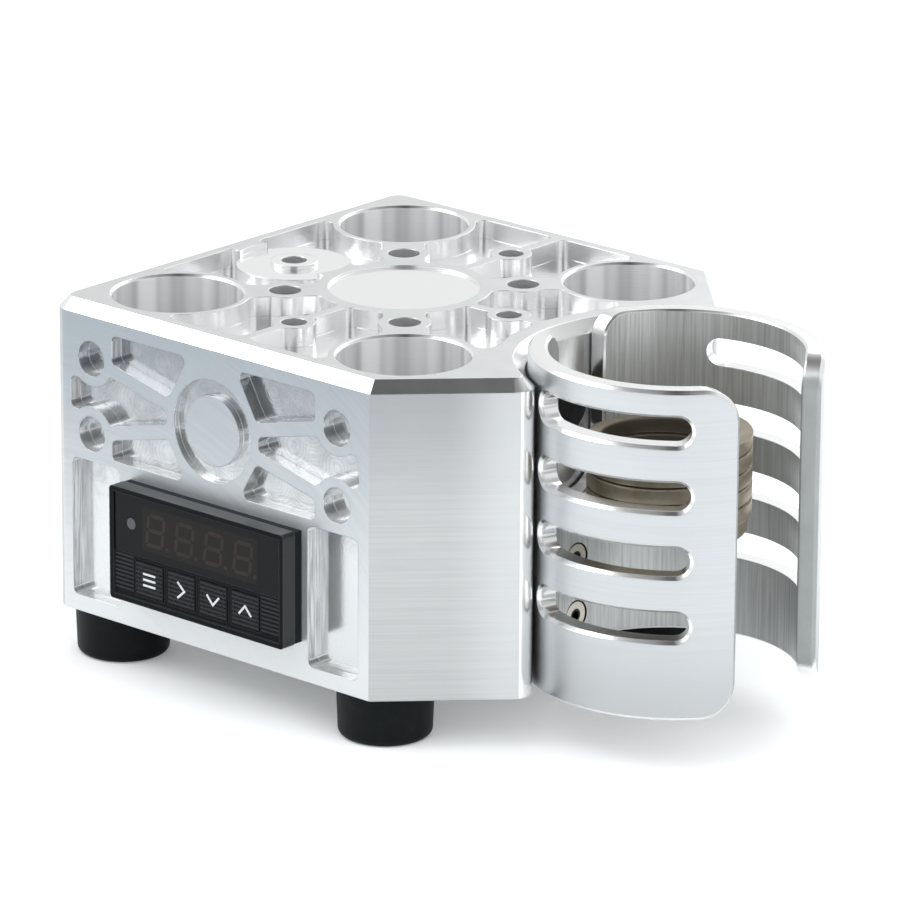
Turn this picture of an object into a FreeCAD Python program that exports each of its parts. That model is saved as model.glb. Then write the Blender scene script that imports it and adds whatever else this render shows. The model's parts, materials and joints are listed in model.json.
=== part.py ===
"""Dry block heater: a milled four-well block with a controller and a guarded coil heater.

Sizes are millimetres and degrees. Pieces are drawn about the centre of the four wells, with the
floor at z = 0, and are then moved so that the centre of the whole footprint is the origin.
"""
import math
import os
import re

import FreeCAD
import Part
import Sketcher
from FreeCAD import Placement, Rotation, Vector

# Driving sizes
SIZES = {
    # Block outline
    "block_left": 49.64,
    "block_half_width": 52.74,
    "block_height": 66.17,
    "clip_reach": 91.36,
    "corner_radius": 5.0,
    "tip_radius": 4.2,
    "top_bevel": 2.36,
    "clip_edge_radius": 1.0,
    "scallop_gap": 0.5,
    # Wells and holes in the top face
    "well_radius": 13.32,
    "well_x": 31.0,
    "well_y": 34.36,
    "well_break": 0.5,
    "corner_hole_radius": 3.3,
    "corner_hole_x": 16.4,
    "corner_hole_y": 18.05,
    "corner_hole_depth": 12.0,
    "side_hole_radius": 2.65,
    "side_hole_y": 33.0,
    "left_hole_x": 30.7,
    "right_hole_x": 28.4,
    "side_hole_depth": 8.0,
    # Milled top face
    "top_pocket_depth": 4.0,
    "top_cutter_radius": 1.75,
    "top_rim_left": 4.64,
    "top_rim_side": 4.74,
    "top_rim_arc": 6.0,
    "top_field_right": 40.5,
    "well_land": 1.7,
    "hub_radius": 18.0,
    "hub_recess_radius": 15.6,
    "hub_recess_depth": 0.5,
    "corner_boss_radius": 5.4,
    "side_boss_radius": 4.4,
    "spoke_width": 8.6,
    "top_rib_width": 2.3,
    "seat_radius": 12.0,
    "seat_drop": 1.2,
    "seat_boss_radius": 4.9,
    "seat_boss_drop": 0.4,
    # Milled front face, about its own centre
    "front_centre_left": 4.0,
    "front_centre_drop": 19.25,
    "front_pocket_depth": 3.0,
    "front_cutter_radius": 1.5,
    "front_field_half": 39.7,
    "front_field_top": 5.1,
    "front_field_bottom": 31.7,
    "front_hub_radius": 14.6,
    "front_hub_half": 12.5,
    "front_column_half": 7.4,
    "front_web_start": 28.1,
    "front_end_half": 3.45,
    "front_rib_width": 2.9,
    "recess_radius": 3.7,
    "recess_depth": 3.1,
    "recess_spacing_x": 67.5,
    "recess_spacing_z": 16.0,
    "recess_boss_radius": 5.8,
    "ring_inner_radius": 7.3,
    "ring_outer_radius": 10.7,
    "ring_depth": 1.5,
    "panel_pocket_start": 26.0,
    "panel_pocket_end": 39.5,
    "panel_pocket_top": 33.1,
    "panel_pocket_bottom": 62.8,
    # Lower part of the block and the hollow in it
    "well_floor": 1.5,
    "roof_gap": 0.25,
    "base_screw_left": 38.0,
    "base_screw_right": 31.5,
    "base_screw_y": 8.0,
    "base_screw_radius": 2.0,
    "base_screw_bite": 9.0,
    "base_head_radius": 3.5,
    "base_head_height": 4.0,
    "base_head_sink": 5.0,
    "base_socket_radius": 1.7,
    "base_socket_depth": 2.2,
    "front_wall": 7.0,
    "rear_wall": 4.5,
    "cover_thickness": 2.0,
    "cover_side_ledge": 6.5,
    "cover_end_ledge": 2.5,
    "cover_screw_y": 20.0,
    # Guard
    "guard_axis_x": 72.36,
    "guard_radius": 29.4,
    "guard_wall": 4.0,
    "guard_rise": 2.5,
    "guard_lift": 0.77,
    "guard_opening": 49.2,
    "guard_corner_radius": 7.25,
    "guard_outer_break": 0.7,
    "guard_inner_break": 0.4,
    "slot_count": 4,
    "slot_width": 5.8,
    "slot_first_drop": 8.37,
    "slot_pitch": 13.36,
    "slot_start": 43.5,
    "slot_end": 115.5,
    "notch_width": 13.8,
    "notch_depth": 36.5,
    "notch_corner_radius": 5.0,
    "guard_screw_up": 6.37,
    "guard_screw_spacing": 12.3,
    "guard_screw_length": 14.0,
    # Coil heater
    "coil_axis_x": 71.0,
    "coil_radius": 15.03,
    "coil_tube_radius": 1.5,
    "coil_pitch": 3.5,
    "coil_quarter_turns": 22,
    "coil_end_step": 0.9,
    "coil_bend_radius": 5.0,
    "lead_drop": 14.6,
    "lead_hole_drop": 16.3,
    "lead_hole_radius": 7.2,
    "lead_hole_depth": 10.0,
    "lead_bush_length": 7.0,
    "lead_bore_radius": 2.5,
    "lead_shaft_x": 17.0,
    "lead_shaft_radius": 3.2,
    # Feet
    "foot_radius": 9.9,
    "foot_taper": 0.4,
    "foot_height": 10.43,
    "foot_round": 1.5,
    "foot_left_inset": 10.34,
    "foot_right_x": 33.6,
    "foot_side_inset": 10.24,
    "foot_screw_radius": 2.0,
    "foot_screw_length": 16.0,
    "foot_head_radius": 3.8,
    "foot_head_height": 2.4,
    "foot_head_seat": 5.0,
    # Small countersunk screws
    "small_screw_radius": 1.5,
    "small_head_radius": 2.9,
    "small_head_height": 1.7,
    "small_socket_radius": 1.1,
    "small_socket_depth": 1.1,
    "head_ring_gap": 0.3,
    "head_ring_depth": 0.35,
    "cover_screw_length": 8.0,
    # Controller
    "controller_left": 3.36,
    "controller_up": 19.92,
    "bezel_width": 48.0,
    "bezel_height": 24.0,
    "bezel_depth": 3.5,
    "bezel_corner": 0.8,
    "bezel_rim": 1.1,
    "bezel_face_sink": 0.35,
    "bezel_web": 1.5,
    "gasket_depth": 2.27,
    "gasket_inset": 0.3,
    "groove_length": 41.0,
    "groove_width": 0.5,
    "groove_depth": 0.5,
    "case_inset_x": 1.7,
    "case_inset_z": 1.1,
    "case_wall": 1.4,
    "case_length": 62.0,
    "clamp_wall": 1.15,
    "clamp_depth": 5.0,
    "window_height": 12.5,
    "window_thickness": 1.2,
    "digits_width": 32.0,
    "digits_height": 9.6,
    "digits_right": 0.7,
    "led_radius": 1.2,
    "led_inset": 5.8,
    "led_up": 4.8,
    "key_width": 7.6,
    "key_height": 7.2,
    "key_pitch": 8.85,
    "key_first_inset": 10.9,
    "key_down_from_centre": 6.2,
    "key_flange": 0.45,
    "key_flange_depth": 0.5,
    "key_travel": 0.4,
    "key_gap": 0.2,
    "mat_depth": 0.7,
    "board_thickness": 1.6,
    "board_drop": 5.0,
    "transformer_width": 18.0,
    "transformer_length": 16.0,
    "transformer_height": 11.0,
    "transformer_back": 18.0,
    "terminal_length": 9.0,
    "terminal_proud": 4.0,
    "terminal_count": 5,
    "terminal_pitch": 7.6,
    "terminal_rise": 5.45,
    "terminal_hole_radius": 1.9,
    # Heating and sensing inside the block
    "heater_radius": 4.7,
    "heater_cover": 7.9,
    "heater_y": 16.0,
    "probe_radius": 1.9,
    "probe_cover": 11.9,
    "probe_left": 9.0,
    "cutout_radius": 7.5,
    "cutout_flange": 1.5,
    "cutout_flange_thickness": 1.6,
    "cutout_height": 5.5,
    "cutout_x": 10.0,
    "cutout_gap": 1.0,
    # Power entry on the rear face
    "power_up": 16.17,
    "inlet_left": 12.0,
    "inlet_width": 27.0,
    "inlet_height": 19.6,
    "inlet_depth": 20.0,
    "inlet_flange": 1.9,
    "inlet_proud": 2.5,
    "inlet_wall": 1.5,
    "inlet_recess": 15.5,
    "inlet_chamfer": 4.5,
    "pin_width": 2.0,
    "pin_height": 4.0,
    "pin_length": 13.0,
    "pin_spacing": 7.0,
    "pin_drop": 2.0,
    "switch_right": 13.0,
    "switch_width": 12.8,
    "switch_height": 18.8,
    "switch_depth": 15.0,
    "switch_flange": 1.0,
    "switch_proud": 2.0,
    "rocker_width": 10.6,
    "rocker_half": 7.2,
    "rocker_rise": 2.2,
    "rocker_dip": 0.8,
    "rocker_back": 2.5,
    "rocker_sink": 0.8,
    "rocker_tilt": 8.0,
    "rocker_gap": 0.9,
    "rocker_swing_room": 3.6,
    # Clearances
    "static_gap": 0.2,
    "fit_gap": 0.05,
    "overcut": 1.0,
}

TURN = {
    "Z": Rotation(),
    "X": Rotation(Vector(0, 1, 0), 90),
    "-X": Rotation(Vector(0, 1, 0), -90),
    "Y": Rotation(Vector(1, 0, 0), -90),
    "-Y": Rotation(Vector(1, 0, 0), 90),
}
SIDES = (-1, 1)
FULL_TURN = 360.0
QUARTERS = 4
KEY_NAMES = ("key_menu", "key_shift", "key_down", "key_up")
FOOT_NAMES = ("foot_front_left", "foot_rear_left", "foot_front_right", "foot_rear_right")

# How close counts as the same, for places on edges, for curved edges and for directions
NEAR = 1e-3
CURVE_NEAR = 0.02
ROUND_OFF = 1e-9

# Places and lengths that many pieces share, as expressions on the sizes
TOP = "(foot_height + block_height)"
FRONT = "(-block_half_width)"
REAR = "block_half_width"
CASE_WIDTH = "(bezel_width - 2 * case_inset_x)"
CASE_HEIGHT = "(bezel_height - 2 * case_inset_z)"
CLAMP_WIDTH = f"({CASE_WIDTH} + 2 * (fit_gap + clamp_wall))"
CLAMP_HEIGHT = f"({CASE_HEIGHT} + 2 * (fit_gap + clamp_wall))"
CAVITY_WIDTH = f"({CLAMP_WIDTH} + 2 * static_gap)"
PANEL_X = "(-controller_left)"
PANEL_Z = "(foot_height + controller_up)"
ROOF = f"({PANEL_Z} + {CLAMP_HEIGHT} / 2 + roof_gap)"
SPLIT = f"({ROOF} + well_floor)"
SCALLOP = "(guard_radius + scallop_gap)"
WALL_X = f"(guard_axis_x - {SCALLOP})"
LEAD_Z = f"({TOP} - lead_drop)"
LEAD_HOLE_Z = f"({TOP} - lead_hole_drop)"
GUARD_BASE = "(foot_height + guard_lift)"
GUARD_TOP = f"({TOP} + guard_rise)"
BEZEL_BACK = f"({FRONT} - gasket_depth)"
BEZEL_FRONT = f"({BEZEL_BACK} - bezel_depth)"
FACE_Y = f"({BEZEL_FRONT} + bezel_face_sink)"
WEB_BACK = f"({FACE_Y} + bezel_web)"
CASE_END = f"({BEZEL_BACK} + case_length)"
LED_X = f"({PANEL_X} - bezel_width / 2 + led_inset)"
KEY_X = f"({PANEL_X} - bezel_width / 2 + key_first_inset)"
KEYS_RUN = f"({len(KEY_NAMES) - 1} * key_pitch)"
KEYS_X = f"({KEY_X} + {KEYS_RUN} / 2)"
KEYS_Z = f"({PANEL_Z} - key_down_from_centre)"
POWER_Z = "(foot_height + power_up)"
SHIFT_X = "(block_left - guard_axis_x - guard_radius * cos(guard_opening / 2)) / 2"
SHIFT_Y = "(gasket_depth + bezel_depth - inlet_proud) / 2"

doc = FreeCAD.newDocument("dry_block_heater")
sheet = doc.addObject("Spreadsheet::Sheet", "sizes")
for row, (alias, number) in enumerate(SIZES.items(), 1):
    sheet.set(f"A{row}", alias)
    sheet.set(f"B{row}", str(number))
    sheet.setAlias(f"B{row}", alias)
doc.recompute()

WORD = re.compile(r"[a-z_]+")
nodes = []


def size(alias):
    """A driving size, read from the sheet."""
    return float(sheet.get(alias))


def linked(text):
    """An expression with each size's name pointed at the sheet."""
    return WORD.sub(lambda m: "sizes." + m.group() if m.group() in SIZES else m.group(), text)


def bind(obj, **links):
    """Tie properties to expressions on the sizes."""
    for name, text in links.items():
        obj.setExpression(name, linked(text))
    return obj


def moved(obj, x="0", y="0", z="0"):
    """Tie an object's place to expressions on the sizes."""
    for axis, text in zip("xyz", (x, y, z)):
        obj.setExpression("Placement.Base." + axis, linked(text))
    return obj


def node(obj, label):
    """Name a finished piece and move it to the shared origin."""
    obj.Label = label
    placed = {path.strip("."): text for path, text in obj.ExpressionEngine}
    for axis, shift in (("x", SHIFT_X), ("y", SHIFT_Y)):
        path = "Placement.Base." + axis
        obj.setExpression(path, f"({placed.get(path, '0')}) + {linked(shift)}")
    nodes.append(obj)
    return obj


# Solid building blocks
def box(name, x, y, z, length, width, height):
    """A block from its least corner."""
    obj = doc.addObject("Part::Box", name)
    bind(obj, Length=length, Width=width, Height=height)
    return moved(obj, x, y, z)


def block_about(name, x, z, width, height, y, depth):
    """A block centred on a point of a face, from y onwards."""
    return box(name, f"{x} - ({width}) / 2", y, f"{z} - ({height}) / 2", width, depth, height)


def rod(name, x, y, z, radius, length, axis="Z"):
    """A round bar from its start point along an axis."""
    obj = doc.addObject("Part::Cylinder", name)
    obj.Placement = Placement(Vector(), TURN[axis])
    bind(obj, Radius=radius, Height=length)
    return moved(obj, x, y, z)


def cone(name, x, y, z, start_radius, end_radius, length, axis="Z"):
    """A cone from its start point along an axis."""
    obj = doc.addObject("Part::Cone", name)
    obj.Placement = Placement(Vector(), TURN[axis])
    bind(obj, Radius1=start_radius, Radius2=end_radius, Height=length)
    return moved(obj, x, y, z)


def fuse(name, parts):
    """Several solids as one."""
    obj = doc.addObject("Part::MultiFuse", name)
    obj.Shapes = parts
    return obj


def group(name, parts):
    """Several separate solids in one piece's file."""
    obj = doc.addObject("Part::Compound", name)
    obj.Links = parts
    return obj


def cut(name, base, tools):
    """A solid less one or more tools."""
    obj = doc.addObject("Part::Cut", name)
    obj.Base = base
    obj.Tool = tools[0] if len(tools) == 1 else fuse(name + "_tools", tools)
    return obj


def common(name, base, tool):
    """What two solids share."""
    obj = doc.addObject("Part::Common", name)
    obj.Base = base
    obj.Tool = tool
    obj.Refine = True
    return obj


def rounded(name, base, radius, test):
    """A solid with the edges that pass a test rounded."""
    doc.recompute()
    obj = doc.addObject("Part::Fillet", name)
    obj.Base = base
    chosen = [i for i, edge in enumerate(base.Shape.Edges, 1) if test(edge)]
    obj.Edges = [(i, size(radius), size(radius)) for i in chosen]
    return obj


def middle(edge):
    """The middle point of an edge."""
    return edge.valueAt((edge.FirstParameter + edge.LastParameter) / 2)


def along(axis):
    """A test for straight edges along an axis."""
    def test(edge):
        ends = edge.Vertexes
        if len(ends) != 2 or edge.Curve.TypeId != "Part::GeomLine":
            return False
        run = ends[1].Point - ends[0].Point
        return abs(abs(getattr(run, axis)) - run.Length) < NEAR
    return test


# Sketch building blocks
def sketch_on(body, plane, name, offset="0"):
    """A sketch on one of a body's own planes, lifted along the plane's normal."""
    sketch = body.newObject("Sketcher::SketchObject", name)
    support = next(f for f in body.Origin.OriginFeatures if f.Role == plane)
    sketch.AttachmentSupport = (support, [""])
    sketch.MapMode = "FlatFace"
    sketch.setExpression("AttachmentOffset.Base.z", linked(offset))
    return sketch


def measured(sketch, kind, where):
    """The present value of a sized constraint in a sketch."""
    if kind == "Radius":
        return sketch.Geometry[where[0]].Radius
    if kind == "Angle":
        line = sketch.Geometry[where[0]]
        run = line.EndPoint - line.StartPoint
        return math.atan2(run.y, run.x)
    run = sketch.getPoint(*where[2:]) - sketch.getPoint(*where[:2])
    return run.x if kind == "DistanceX" else run.y


def rule(sketch, text, kind, *where):
    """A sized constraint tied to an expression."""
    present = measured(sketch, kind, where)
    index = sketch.addConstraint(Sketcher.Constraint(kind, *where, present))
    sketch.setExpression(f"Constraints[{index}]", linked(text))


def circles(sketch, spots):
    """Circles by centre and radius."""
    for x, y, radius in spots:
        index = sketch.addGeometry(Part.Circle(Vector(), Vector(0, 0, 1), 1.0))
        rule(sketch, x, "DistanceX", -1, 1, index, 3)
        rule(sketch, y, "DistanceY", -1, 1, index, 3)
        rule(sketch, radius, "Radius", index)


def outline(sketch, points):
    """A closed outline of straight lines through points."""
    first = sketch.GeometryCount
    count = len(points)
    ring = [Vector(math.cos(k * math.tau / count), math.sin(k * math.tau / count), 0)
            for k in range(count)]
    for k in range(count):
        sketch.addGeometry(Part.LineSegment(ring[k], ring[(k + 1) % count]))
    for k in range(count):
        sketch.addConstraint(Sketcher.Constraint(
            "Coincident", first + k, 2, first + (k + 1) % count, 1))
    for k, (x, y) in enumerate(points):
        rule(sketch, x, "DistanceX", -1, 1, first + k, 1)
        rule(sketch, y, "DistanceY", -1, 1, first + k, 1)


def feature(body, kind, name, profile, **links):
    """A sketch-based feature of a body."""
    obj = body.newObject("PartDesign::" + kind, name)
    obj.Profile = profile
    return bind(obj, **links)


def dressed(body, kind, name, test, **links):
    """A fillet or chamfer on the tip's edges that pass a test."""
    doc.recompute()
    tip = body.Tip
    chosen = [f"Edge{i}" for i, edge in enumerate(tip.Shape.Edges, 1) if test(edge)]
    obj = body.newObject("PartDesign::" + kind, name)
    obj.Base = (tip, chosen)
    return bind(obj, **links)


def padded(name, plane, offset, draw, depth):
    """A body with one padded sketch."""
    body = doc.addObject("PartDesign::Body", name + "_body")
    sketch = sketch_on(body, plane, name + "_sketch", offset)
    draw(sketch)
    feature(body, "Pad", name + "_pad", sketch, Length=depth)
    return body


# Milled fields
def milled(name, region, cutter):
    """The part of flat faces that a round cutter reaches: shrunk by its radius, then grown again."""
    doc.recompute()
    radius = size(cutter)
    reached = []
    for face in region.Shape.Faces:
        if face.Area > math.pi * radius ** 2:
            reached.append(face.makeOffset2D(-radius).makeOffset2D(radius))
    obj = doc.addObject("Part::Feature", name)
    obj.Shape = Part.makeCompound(reached)
    return obj


def raised(name, face, direction, depth):
    """A flat face swept along a direction."""
    obj = doc.addObject("Part::Extrusion", name)
    obj.Base = face
    obj.DirMode = "Custom"
    obj.Dir = direction
    obj.Solid = True
    return bind(obj, LengthFwd=depth)


def flat(name, x, y, z, length, width, axis="Z"):
    """A flat rectangle from its least corner, facing along an axis."""
    obj = doc.addObject("Part::Plane", name)
    obj.Placement = Placement(Vector(), TURN[axis])
    bind(obj, Length=length, Width=width)
    return moved(obj, x, y, z)


def tilted_bar(name, centre, turn_axis, angle, sizes):
    """A block centred on a point and turned about an axis through it."""
    obj = doc.addObject("Part::Box", name)
    obj.Length, obj.Width, obj.Height = sizes
    turn = Rotation(turn_axis, angle)
    obj.Placement = Placement(centre - turn.multVec(Vector(*sizes) / 2), turn)
    return obj


def top_pockets():
    """Pockets between the lands of the top face."""
    low = f"{TOP} - top_pocket_depth - overcut"
    high = "top_pocket_depth + 3 * overcut"
    field = flat("top_field", "top_rim_left - block_left", "top_rim_side - block_half_width",
                 f"{TOP} - top_pocket_depth", "block_left - top_rim_left + top_field_right",
                 "2 * (block_half_width - top_rim_side)")
    keep = [rod("guard_land", "guard_axis_x", "0", low, f"{SCALLOP} + top_rim_arc", high),
            rod("hub_land", "0", "0", low, "hub_radius", high),
            rod("seat_land", "-left_hole_x", "0", low, "seat_radius", high),
            rod("right_boss", "right_hole_x", "0", low, "side_boss_radius", high),
            box("long_rib", "-left_hole_x", "-top_rib_width / 2", low,
                "left_hole_x + guard_axis_x", "top_rib_width", high),
            box("cross_rib", "-top_rib_width / 2", "-block_half_width", low,
                "top_rib_width", "2 * block_half_width", high)]
    centre = Vector(0, 0, size("foot_height") + size("block_height"))
    spoke = (2 * math.hypot(size("well_x"), size("well_y")), size("spoke_width"),
             2 * (size("top_pocket_depth") + size("overcut")))
    lean = math.degrees(math.atan2(size("well_y"), size("well_x")))
    for side in SIDES:
        keep.append(tilted_bar("spokes", centre, Vector(0, 0, 1), side * lean, spoke))
        keep.append(rod("cross_boss", "0", f"{side} * side_hole_y", low, "side_boss_radius", high))
        for end in SIDES:
            keep.append(rod("well_land", f"{end} * well_x", f"{side} * well_y", low,
                            "well_radius + well_land", high))
            keep.append(rod("corner_boss", f"{end} * corner_hole_x", f"{side} * corner_hole_y",
                            low, "corner_boss_radius", high))
            keep.append(box("corner_land", f"{end} * well_x - (1 - {end}) / 2 * block_left",
                            f"{side} * well_y - (1 - {side}) / 2 * block_half_width", low,
                            "block_left", "block_half_width", high))
    reached = milled("top_faces", cut("top_open", field, keep), "top_cutter_radius")
    return raised("top_pockets", reached, Vector(0, 0, 1), "top_pocket_depth + overcut")


def front_pockets():
    """Pockets between the ribs of the front face."""
    x, z = "(-front_centre_left)", f"({TOP} - front_centre_drop)"
    floor = f"{FRONT} + front_pocket_depth"
    back, deep = f"{floor} + overcut", "front_pocket_depth + 3 * overcut"
    low = f"{TOP} - front_field_bottom"
    tall = "front_field_bottom - front_field_top"
    wide = "front_field_half"
    field = flat("front_field", f"{x} - front_field_half", floor, low, "2 * front_field_half",
                 tall, "-Y")
    hexagon = doc.addObject("Part::Prism", "front_hexagon")
    hexagon.Placement = Placement(Vector(), TURN["-Y"])
    bind(hexagon, Circumradius="front_hub_radius", Height=deep)
    moved(hexagon, x, back, z)
    hub_slab = block_about("front_hub_slab", x, z, "2 * front_hub_half", "2 * front_hub_radius",
                           f"{back} - ({deep})", deep)
    keep = [common("front_hub", hexagon, hub_slab),
            box("front_column", f"{x} - front_column_half", f"{back} - ({deep})", low,
                "2 * front_column_half", deep, tall)]
    centre = Vector(-size("front_centre_left"), -size("block_half_width"),
                    size("foot_height") + size("block_height") - size("front_centre_drop"))
    rib = (math.hypot(size("recess_spacing_x"), size("recess_spacing_z")),
           2 * (size("front_pocket_depth") + size("overcut")), size("front_rib_width"))
    lean = math.degrees(math.atan2(size("recess_spacing_z"), size("recess_spacing_x")))
    for side in SIDES:
        keep.append(tilted_bar("front_rib", centre, Vector(0, 1, 0), side * lean, rib))
        for up in SIDES:
            keep.append(rod("recess_boss", f"{x} + {side} * recess_spacing_x / 2", back,
                            f"{z} + {up} * recess_spacing_z / 2", "recess_boss_radius", deep,
                            "-Y"))
            for start, rise in (("front_web_start", "recess_spacing_z / 2"),
                                ("recess_spacing_x / 2", "front_end_half")):
                keep.append(box(
                    "front_web", f"{x} + {side} * ({start}) - (1 - {side}) / 2 * {wide}",
                    f"{back} - ({deep})", f"{z} + {up} * ({rise}) - (1 - {up}) / 2 * ({tall})",
                    wide, deep, tall))
    reached = [milled("front_faces", cut("front_open", field, keep), "front_cutter_radius")]
    for side in SIDES:
        start = "panel_pocket_start" if side > 0 else "-panel_pocket_end"
        panel = flat("panel_field", f"{x} + {start}", floor, f"{TOP} - panel_pocket_bottom",
                     "panel_pocket_end - panel_pocket_start",
                     "panel_pocket_bottom - panel_pocket_top", "-Y")
        reached.append(milled("panel_face", panel, "front_cutter_radius"))
    return [raised("front_pockets", face, Vector(0, -1, 0), "front_pocket_depth + overcut")
            for face in reached]


def front_details():
    """Four round recesses and a plain ring groove in the front face."""
    x, z = "(-front_centre_left)", f"({TOP} - front_centre_drop)"
    tools = [rod("recess", f"{x} + {side} * recess_spacing_x / 2", f"{FRONT} - overcut",
                 f"{z} + {up} * recess_spacing_z / 2", "recess_radius",
                 "recess_depth + overcut", "Y")
             for side in SIDES for up in SIDES]
    disc, core = (rod("ring", x, f"{FRONT} - overcut", z, radius, "ring_depth + overcut", "Y")
                  for radius in ("ring_outer_radius", "ring_inner_radius"))
    return tools + [cut("ring_groove", disc, [core])]


# Heater block
def block_outline(sketch):
    """Block seen from above: a rectangle with two clipped corners and a round scallop."""
    left, half = size("block_left"), size("block_half_width")
    reach, axis = size("clip_reach"), size("guard_axis_x")
    scallop = size("guard_radius") + size("scallop_gap")
    beyond = reach - axis
    tip = (beyond + math.sqrt(2 * scallop ** 2 - beyond ** 2)) / 2
    swing = math.atan2(tip, reach - tip - axis)
    corners = [(-left, -half), (reach - half, -half), (reach - tip, -tip),
               (reach - tip, tip), (reach - half, half), (-left, half)]
    points = [Vector(x, y, 0) for x, y in corners]
    for start, end in ((0, 1), (1, 2)):
        sketch.addGeometry(Part.LineSegment(points[start], points[end]))
    circle = Part.Circle(Vector(axis, 0, 0), Vector(0, 0, 1), scallop)
    sketch.addGeometry(Part.ArcOfCircle(circle, swing, math.tau - swing))
    for start, end in ((3, 4), (4, 5), (5, 0)):
        sketch.addGeometry(Part.LineSegment(points[start], points[end]))
    joined = ((0, 2, 1, 1), (1, 2, 2, 2), (2, 1, 3, 1), (3, 2, 4, 1), (4, 2, 5, 1), (5, 2, 0, 1))
    for ends in joined:
        sketch.addConstraint(Sketcher.Constraint("Coincident", *ends))
    for kind, index in (("Horizontal", 0), ("Horizontal", 4), ("Vertical", 5)):
        sketch.addConstraint(Sketcher.Constraint(kind, index))
    sketch.addConstraint(Sketcher.Constraint("PointOnObject", 2, 3, -1))
    sketch.addConstraint(Sketcher.Constraint("Perpendicular", 1, 3))
    for text, *place in (("guard_axis_x", "DistanceX", -1, 1, 2, 3), (SCALLOP, "Radius", 2),
                         ("block_left", "DistanceX", 0, 1, -1, 1),
                         ("block_half_width", "DistanceY", 0, 1, -1, 1),
                         ("block_half_width", "DistanceY", -1, 1, 4, 2),
                         ("clip_reach - block_half_width", "DistanceX", -1, 1, 0, 2),
                         ("clip_reach - block_half_width", "DistanceX", -1, 1, 4, 1),
                         ("45", "Angle", 1)):
        rule(sketch, text, *place)


def block_blank():
    """Block with its outline, bevel, wells, holes and round seats."""
    body = doc.addObject("PartDesign::Body", "block_blank")
    sketch = sketch_on(body, "XY_Plane", "block_sketch", "foot_height")
    block_outline(sketch)
    feature(body, "Pad", "block_pad", sketch, Length="block_height")
    left = -size("block_left")
    clip = size("clip_reach") - size("block_half_width")
    axis = size("guard_axis_x")
    scallop = size("guard_radius") + size("scallop_gap")
    top = size("foot_height") + size("block_height")
    upright = along("z")

    def at_left(edge):
        return upright(edge) and abs(middle(edge).x - left) < NEAR

    def at_tip(edge):
        spot = middle(edge)
        return upright(edge) and abs(math.hypot(spot.x - axis, spot.y) - scallop) < NEAR

    def at_clip(edge):
        return upright(edge) and abs(middle(edge).x - clip) < NEAR

    def at_top(edge):
        return all(abs(v.Z - top) < NEAR for v in edge.Vertexes)

    def at_well(edge):
        return (at_top(edge) and edge.Curve.TypeId == "Part::GeomCircle"
                and abs(edge.Curve.Radius - size("well_radius")) < NEAR)

    dressed(body, "Fillet", "left_corners", at_left, Radius="corner_radius")
    dressed(body, "Fillet", "scallop_tips", at_tip, Radius="tip_radius")
    dressed(body, "Chamfer", "top_bevels", at_top, Size="top_bevel")
    dressed(body, "Fillet", "clip_edges", at_clip, Radius="clip_edge_radius")

    def pocket(name, spots, depth):
        sketch = sketch_on(body, "XY_Plane", name + "_sketch", TOP)
        circles(sketch, spots)
        feature(body, "Pocket", name, sketch, Length=depth)

    pocket("wells", [(f"{i} * well_x", f"{j} * well_y", "well_radius")
                     for i in SIDES for j in SIDES], f"{TOP} - {SPLIT}")
    dressed(body, "Chamfer", "well_breaks", at_well, Size="well_break")
    pocket("corner_holes", [(f"{i} * corner_hole_x", f"{j} * corner_hole_y",
                             "corner_hole_radius") for i in SIDES for j in SIDES],
           "corner_hole_depth")
    pocket("side_holes", [("0", f"{j} * side_hole_y", "side_hole_radius") for j in SIDES]
           + [("-left_hole_x", "0", "side_hole_radius"), ("right_hole_x", "0",
                                                          "side_hole_radius")],
           "side_hole_depth")
    pocket("hub_recess", [("0", "0", "hub_recess_radius")], "hub_recess_depth")
    pocket("seat_floor", [("-left_hole_x", "0", "seat_radius + static_gap"),
                          ("-left_hole_x", "0", "seat_boss_radius")], "seat_drop")
    pocket("seat_boss", [("-left_hole_x", "0", "seat_boss_radius")], "seat_boss_drop")
    return body


def cavity_tools():
    """Hollow under the wells with its openings for cover, controller and power entry."""
    cavity_y = f"({FRONT} + front_wall)"
    cavity_length = "(2 * block_half_width - front_wall - rear_wall)"
    cavity_x = f"({PANEL_X} - {CAVITY_WIDTH} / 2)"
    return [
        box("cavity", cavity_x, cavity_y, "foot_height - overcut", CAVITY_WIDTH, cavity_length,
            f"{ROOF} - foot_height + overcut"),
        box("cover_rebate", f"{cavity_x} - cover_side_ledge", f"{cavity_y} - cover_end_ledge",
            "foot_height - overcut", f"{CAVITY_WIDTH} + 2 * cover_side_ledge",
            f"{cavity_length} + 2 * cover_end_ledge", "cover_thickness + overcut"),
        block_about("panel_opening", PANEL_X, PANEL_Z, f"{CASE_WIDTH} + 2 * static_gap",
                    f"{CASE_HEIGHT} + 2 * static_gap", f"{FRONT} - overcut",
                    "front_wall + 2 * overcut"),
        block_about("inlet_opening", "(-inlet_left)", POWER_Z, "inlet_width + 2 * static_gap",
                    "inlet_height + 2 * static_gap", f"{REAR} - rear_wall - overcut",
                    "rear_wall + 2 * overcut"),
        block_about("switch_opening", "switch_right", POWER_Z, "switch_width + 2 * static_gap",
                    "switch_height + 2 * static_gap", f"{REAR} - rear_wall - overcut",
                    "rear_wall + 2 * overcut"),
    ]


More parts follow.
